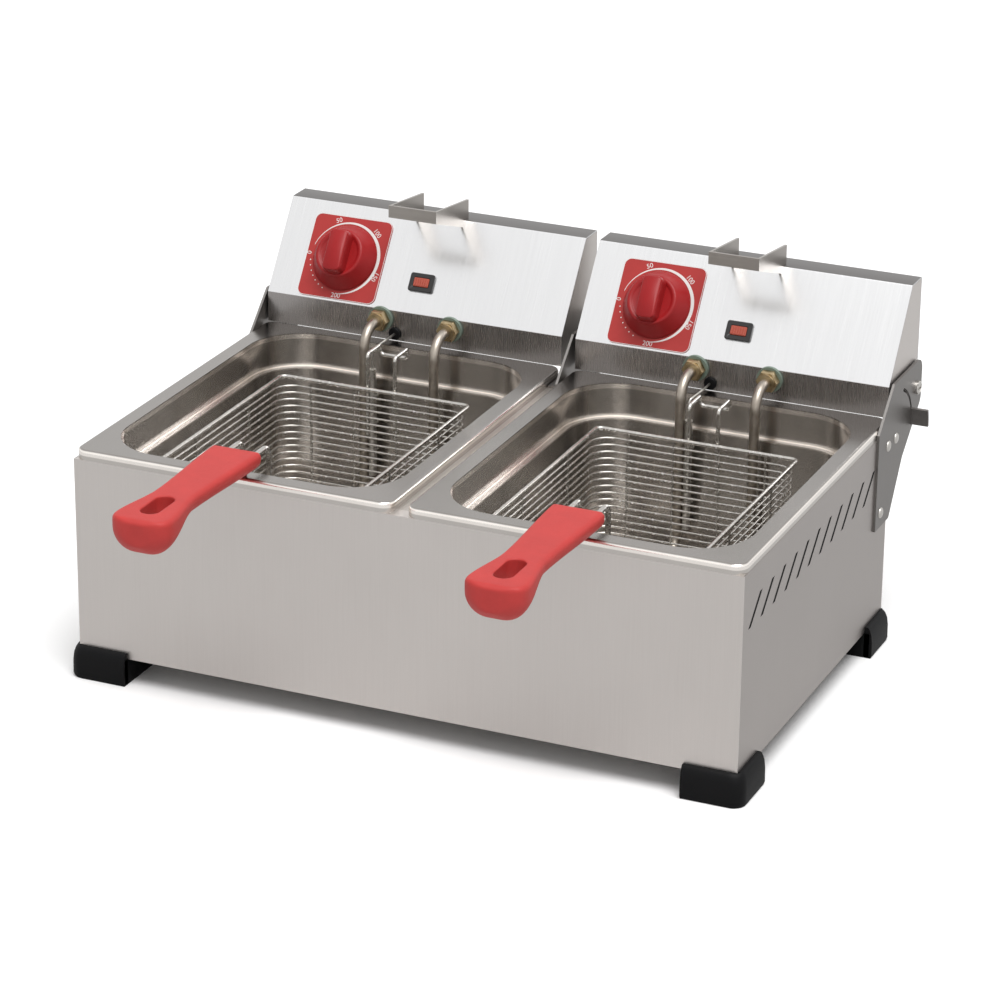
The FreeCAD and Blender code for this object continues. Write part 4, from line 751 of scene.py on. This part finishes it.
def handle_section(middle_x, y):
    """The handle's outline at one place along it, flat above and round below."""
    reach = y - tip_y
    half = between(reach, (12.0, 23.5), (62.0, 17.0), (157.0, 21.0))
    top = handle_top - 3.0 * max(0.0, 1.0 - reach / 4.0) ** 2
    low = between(reach, (16.0, 155.5), (58.0, 170.5)) + 9.0 * max(0.0, 1.0 - reach / 13.0) ** 2
    if reach < 15.0:
        half *= (1.0 - (1.0 - max(reach, 0.1) / 15.0) ** 3) ** (1.0 / 3.0)
    height = top - low
    upper = min(4.0, 0.45 * half)
    lower = min(0.62 * height, 0.8 * half)
    ring = []
    corners = ((1, 1, upper, 0), (-1, 1, upper, 90), (-1, -1, lower, 180), (1, -1, lower, 270))
    for a, b, size, start in corners:
        centre_x = a * (half - size)
        centre_z = top - size if b > 0 else low + size
        for k in range(9):
            turn = math.radians(start + 90.0 * k / 8)
            x = middle_x + centre_x + size * math.cos(turn)
            ring.append(place(x, y, centre_z + size * math.sin(turn)))
    return ring


for side, sign in sides:
    name = "basket_handle_" + side
    middle_x = sign * basket_x
    bm = bmesh.new()
    reaches = [0.1, 0.6, 1.5, 3.0, 5.0, 7.5, 10.0, 12.5, 15.0] + [18.0 + 3.0 * k for k in range(47)] + [157.0]
    loft(bm, [handle_section(middle_x, tip_y + reach) for reach in reaches])
    lug = [(-9.0, 2.0), (9.0, 2.0), (9.0, 12.0), (-9.0, 12.0)]
    loft(bm, [[place(middle_x + x, y, z) for x, y in lug] for z in (166.8, 177.5)])
    obj = piece(name + "_grip", mesh_of(name + "_grip", bm), handle_red, side + "_basket", "handle_red", name)
    bm = bmesh.new()
    hole_y = tip_y + hole_reach
    hole = rounded(hole_width, hole_length, hole_width / 2)
    loft(bm, [[place(middle_x + x, hole_y + y, z) for x, y in hole] for z in (140.0, 200.0)])
    punch = bpy.data.objects.new("punch", mesh_of("punch", bm))
    bpy.context.scene.collection.objects.link(punch)
    for kind, settings in (("REMESH", {"mode": "VOXEL", "voxel_size": voxel}),
                           ("BOOLEAN", {"operation": "DIFFERENCE", "object": punch, "solver": "EXACT"}),
                           ("REMESH", {"mode": "VOXEL", "voxel_size": voxel}),
                           ("SMOOTH", {"factor": 0.5, "iterations": 6})):
        modifier = obj.modifiers.new(kind.lower(), kind)
        for key, setting in settings.items():
            setattr(modifier, key, setting)
    made = bpy.data.meshes.new_from_object(obj.evaluated_get(bpy.context.evaluated_depsgraph_get()))
    obj.modifiers.clear()
    obj.data = made
    bpy.data.objects.remove(punch)
    made.materials.clear()
    made.materials.append(handle_red)
    made.shade_smooth()

# Floor, light and camera: a plain white studio with broad soft light from above the front right,
# seen from the photograph's place.
bm = bmesh.new()
bmesh.ops.create_grid(bm, x_segments=1, y_segments=1, size=9.0)
floor_mesh = bpy.data.meshes.new("floor")
bm.to_mesh(floor_mesh)
bm.free()
floor = bpy.data.objects.new("floor", floor_mesh)
bpy.context.scene.collection.objects.link(floor)
floor_material, tree, shader = new_material("floor_white")
shader.inputs["Roughness"].default_value = 0.9
shader.inputs["Specular IOR Level"].default_value = 0.0
rays = tree.nodes.new("ShaderNodeLightPath")
tone = tree.nodes.new("ShaderNodeMapRange")
tone.inputs["To Min"].default_value = 0.6
tone.inputs["To Max"].default_value = 1.0
tree.links.new(rays.outputs["Is Camera Ray"], tone.inputs["Value"])
tree.links.new(tone.outputs["Result"], shader.inputs["Base Color"])
floor_mesh.materials.append(floor_material)

world = bpy.data.worlds.new("studio")
world.use_nodes = True
tree = world.node_tree
background = tree.nodes["Background"]
background.inputs["Color"].default_value = (1.0, 1.0, 1.0, 1.0)
rays = tree.nodes.new("ShaderNodeLightPath")
seen = tree.nodes.new("ShaderNodeMath")
seen.operation = "MAXIMUM"
tree.links.new(rays.outputs["Is Camera Ray"], seen.inputs[0])
tree.links.new(rays.outputs["Is Glossy Ray"], seen.inputs[1])
through = tree.nodes.new("ShaderNodeMath")
through.operation = "MAXIMUM"
tree.links.new(seen.outputs["Value"], through.inputs[0])
tree.links.new(rays.outputs["Is Transmission Ray"], through.inputs[1])
level = tree.nodes.new("ShaderNodeMapRange")
level.inputs["To Min"].default_value = 0.39
level.inputs["To Max"].default_value = 1.0
tree.links.new(through.outputs["Value"], level.inputs["Value"])
tree.links.new(level.outputs["Result"], background.inputs["Strength"])
bpy.context.scene.world = world

lamps = (("key", 2.8, 45.0, (-0.25, 0.22, -1.0)), ("fill", 0.2, 60.0, (-0.3, 0.9, -0.7)))
for name, energy, spread, direction in lamps:
    lamp = bpy.data.lights.new(name, "SUN")
    lamp.energy = energy
    lamp.angle = math.radians(spread)
    holder = bpy.data.objects.new(name, lamp)
    holder.rotation_euler = Vector(direction).to_track_quat("-Z", "Y").to_euler()
    bpy.context.scene.collection.objects.link(holder)

azimuth, elevation, roll = math.radians(23.4047), math.radians(22.0585), math.radians(0.6104)
level_out = math.cos(elevation)
back = Vector((math.sin(azimuth) * level_out, -math.cos(azimuth) * level_out, math.sin(elevation)))
right = Vector((math.cos(azimuth), math.sin(azimuth), 0.0))
up = back.cross(right)
across = right * math.cos(roll) + up * math.sin(roll)
upward = up * math.cos(roll) - right * math.sin(roll)
lens = bpy.data.cameras.new("camera")
lens.lens = 138.48
lens.sensor_width = 36.0
lens.clip_end = 50.0
camera = bpy.data.objects.new("camera", lens)
camera.matrix_world = Matrix((across, upward, back)).transposed().to_4x4()
camera.location = place(1101.436, -2356.047, 1225.281)
bpy.context.scene.collection.objects.link(camera)
bpy.context.scene.camera = camera
bpy.context.scene.view_settings.view_transform = "Standard"
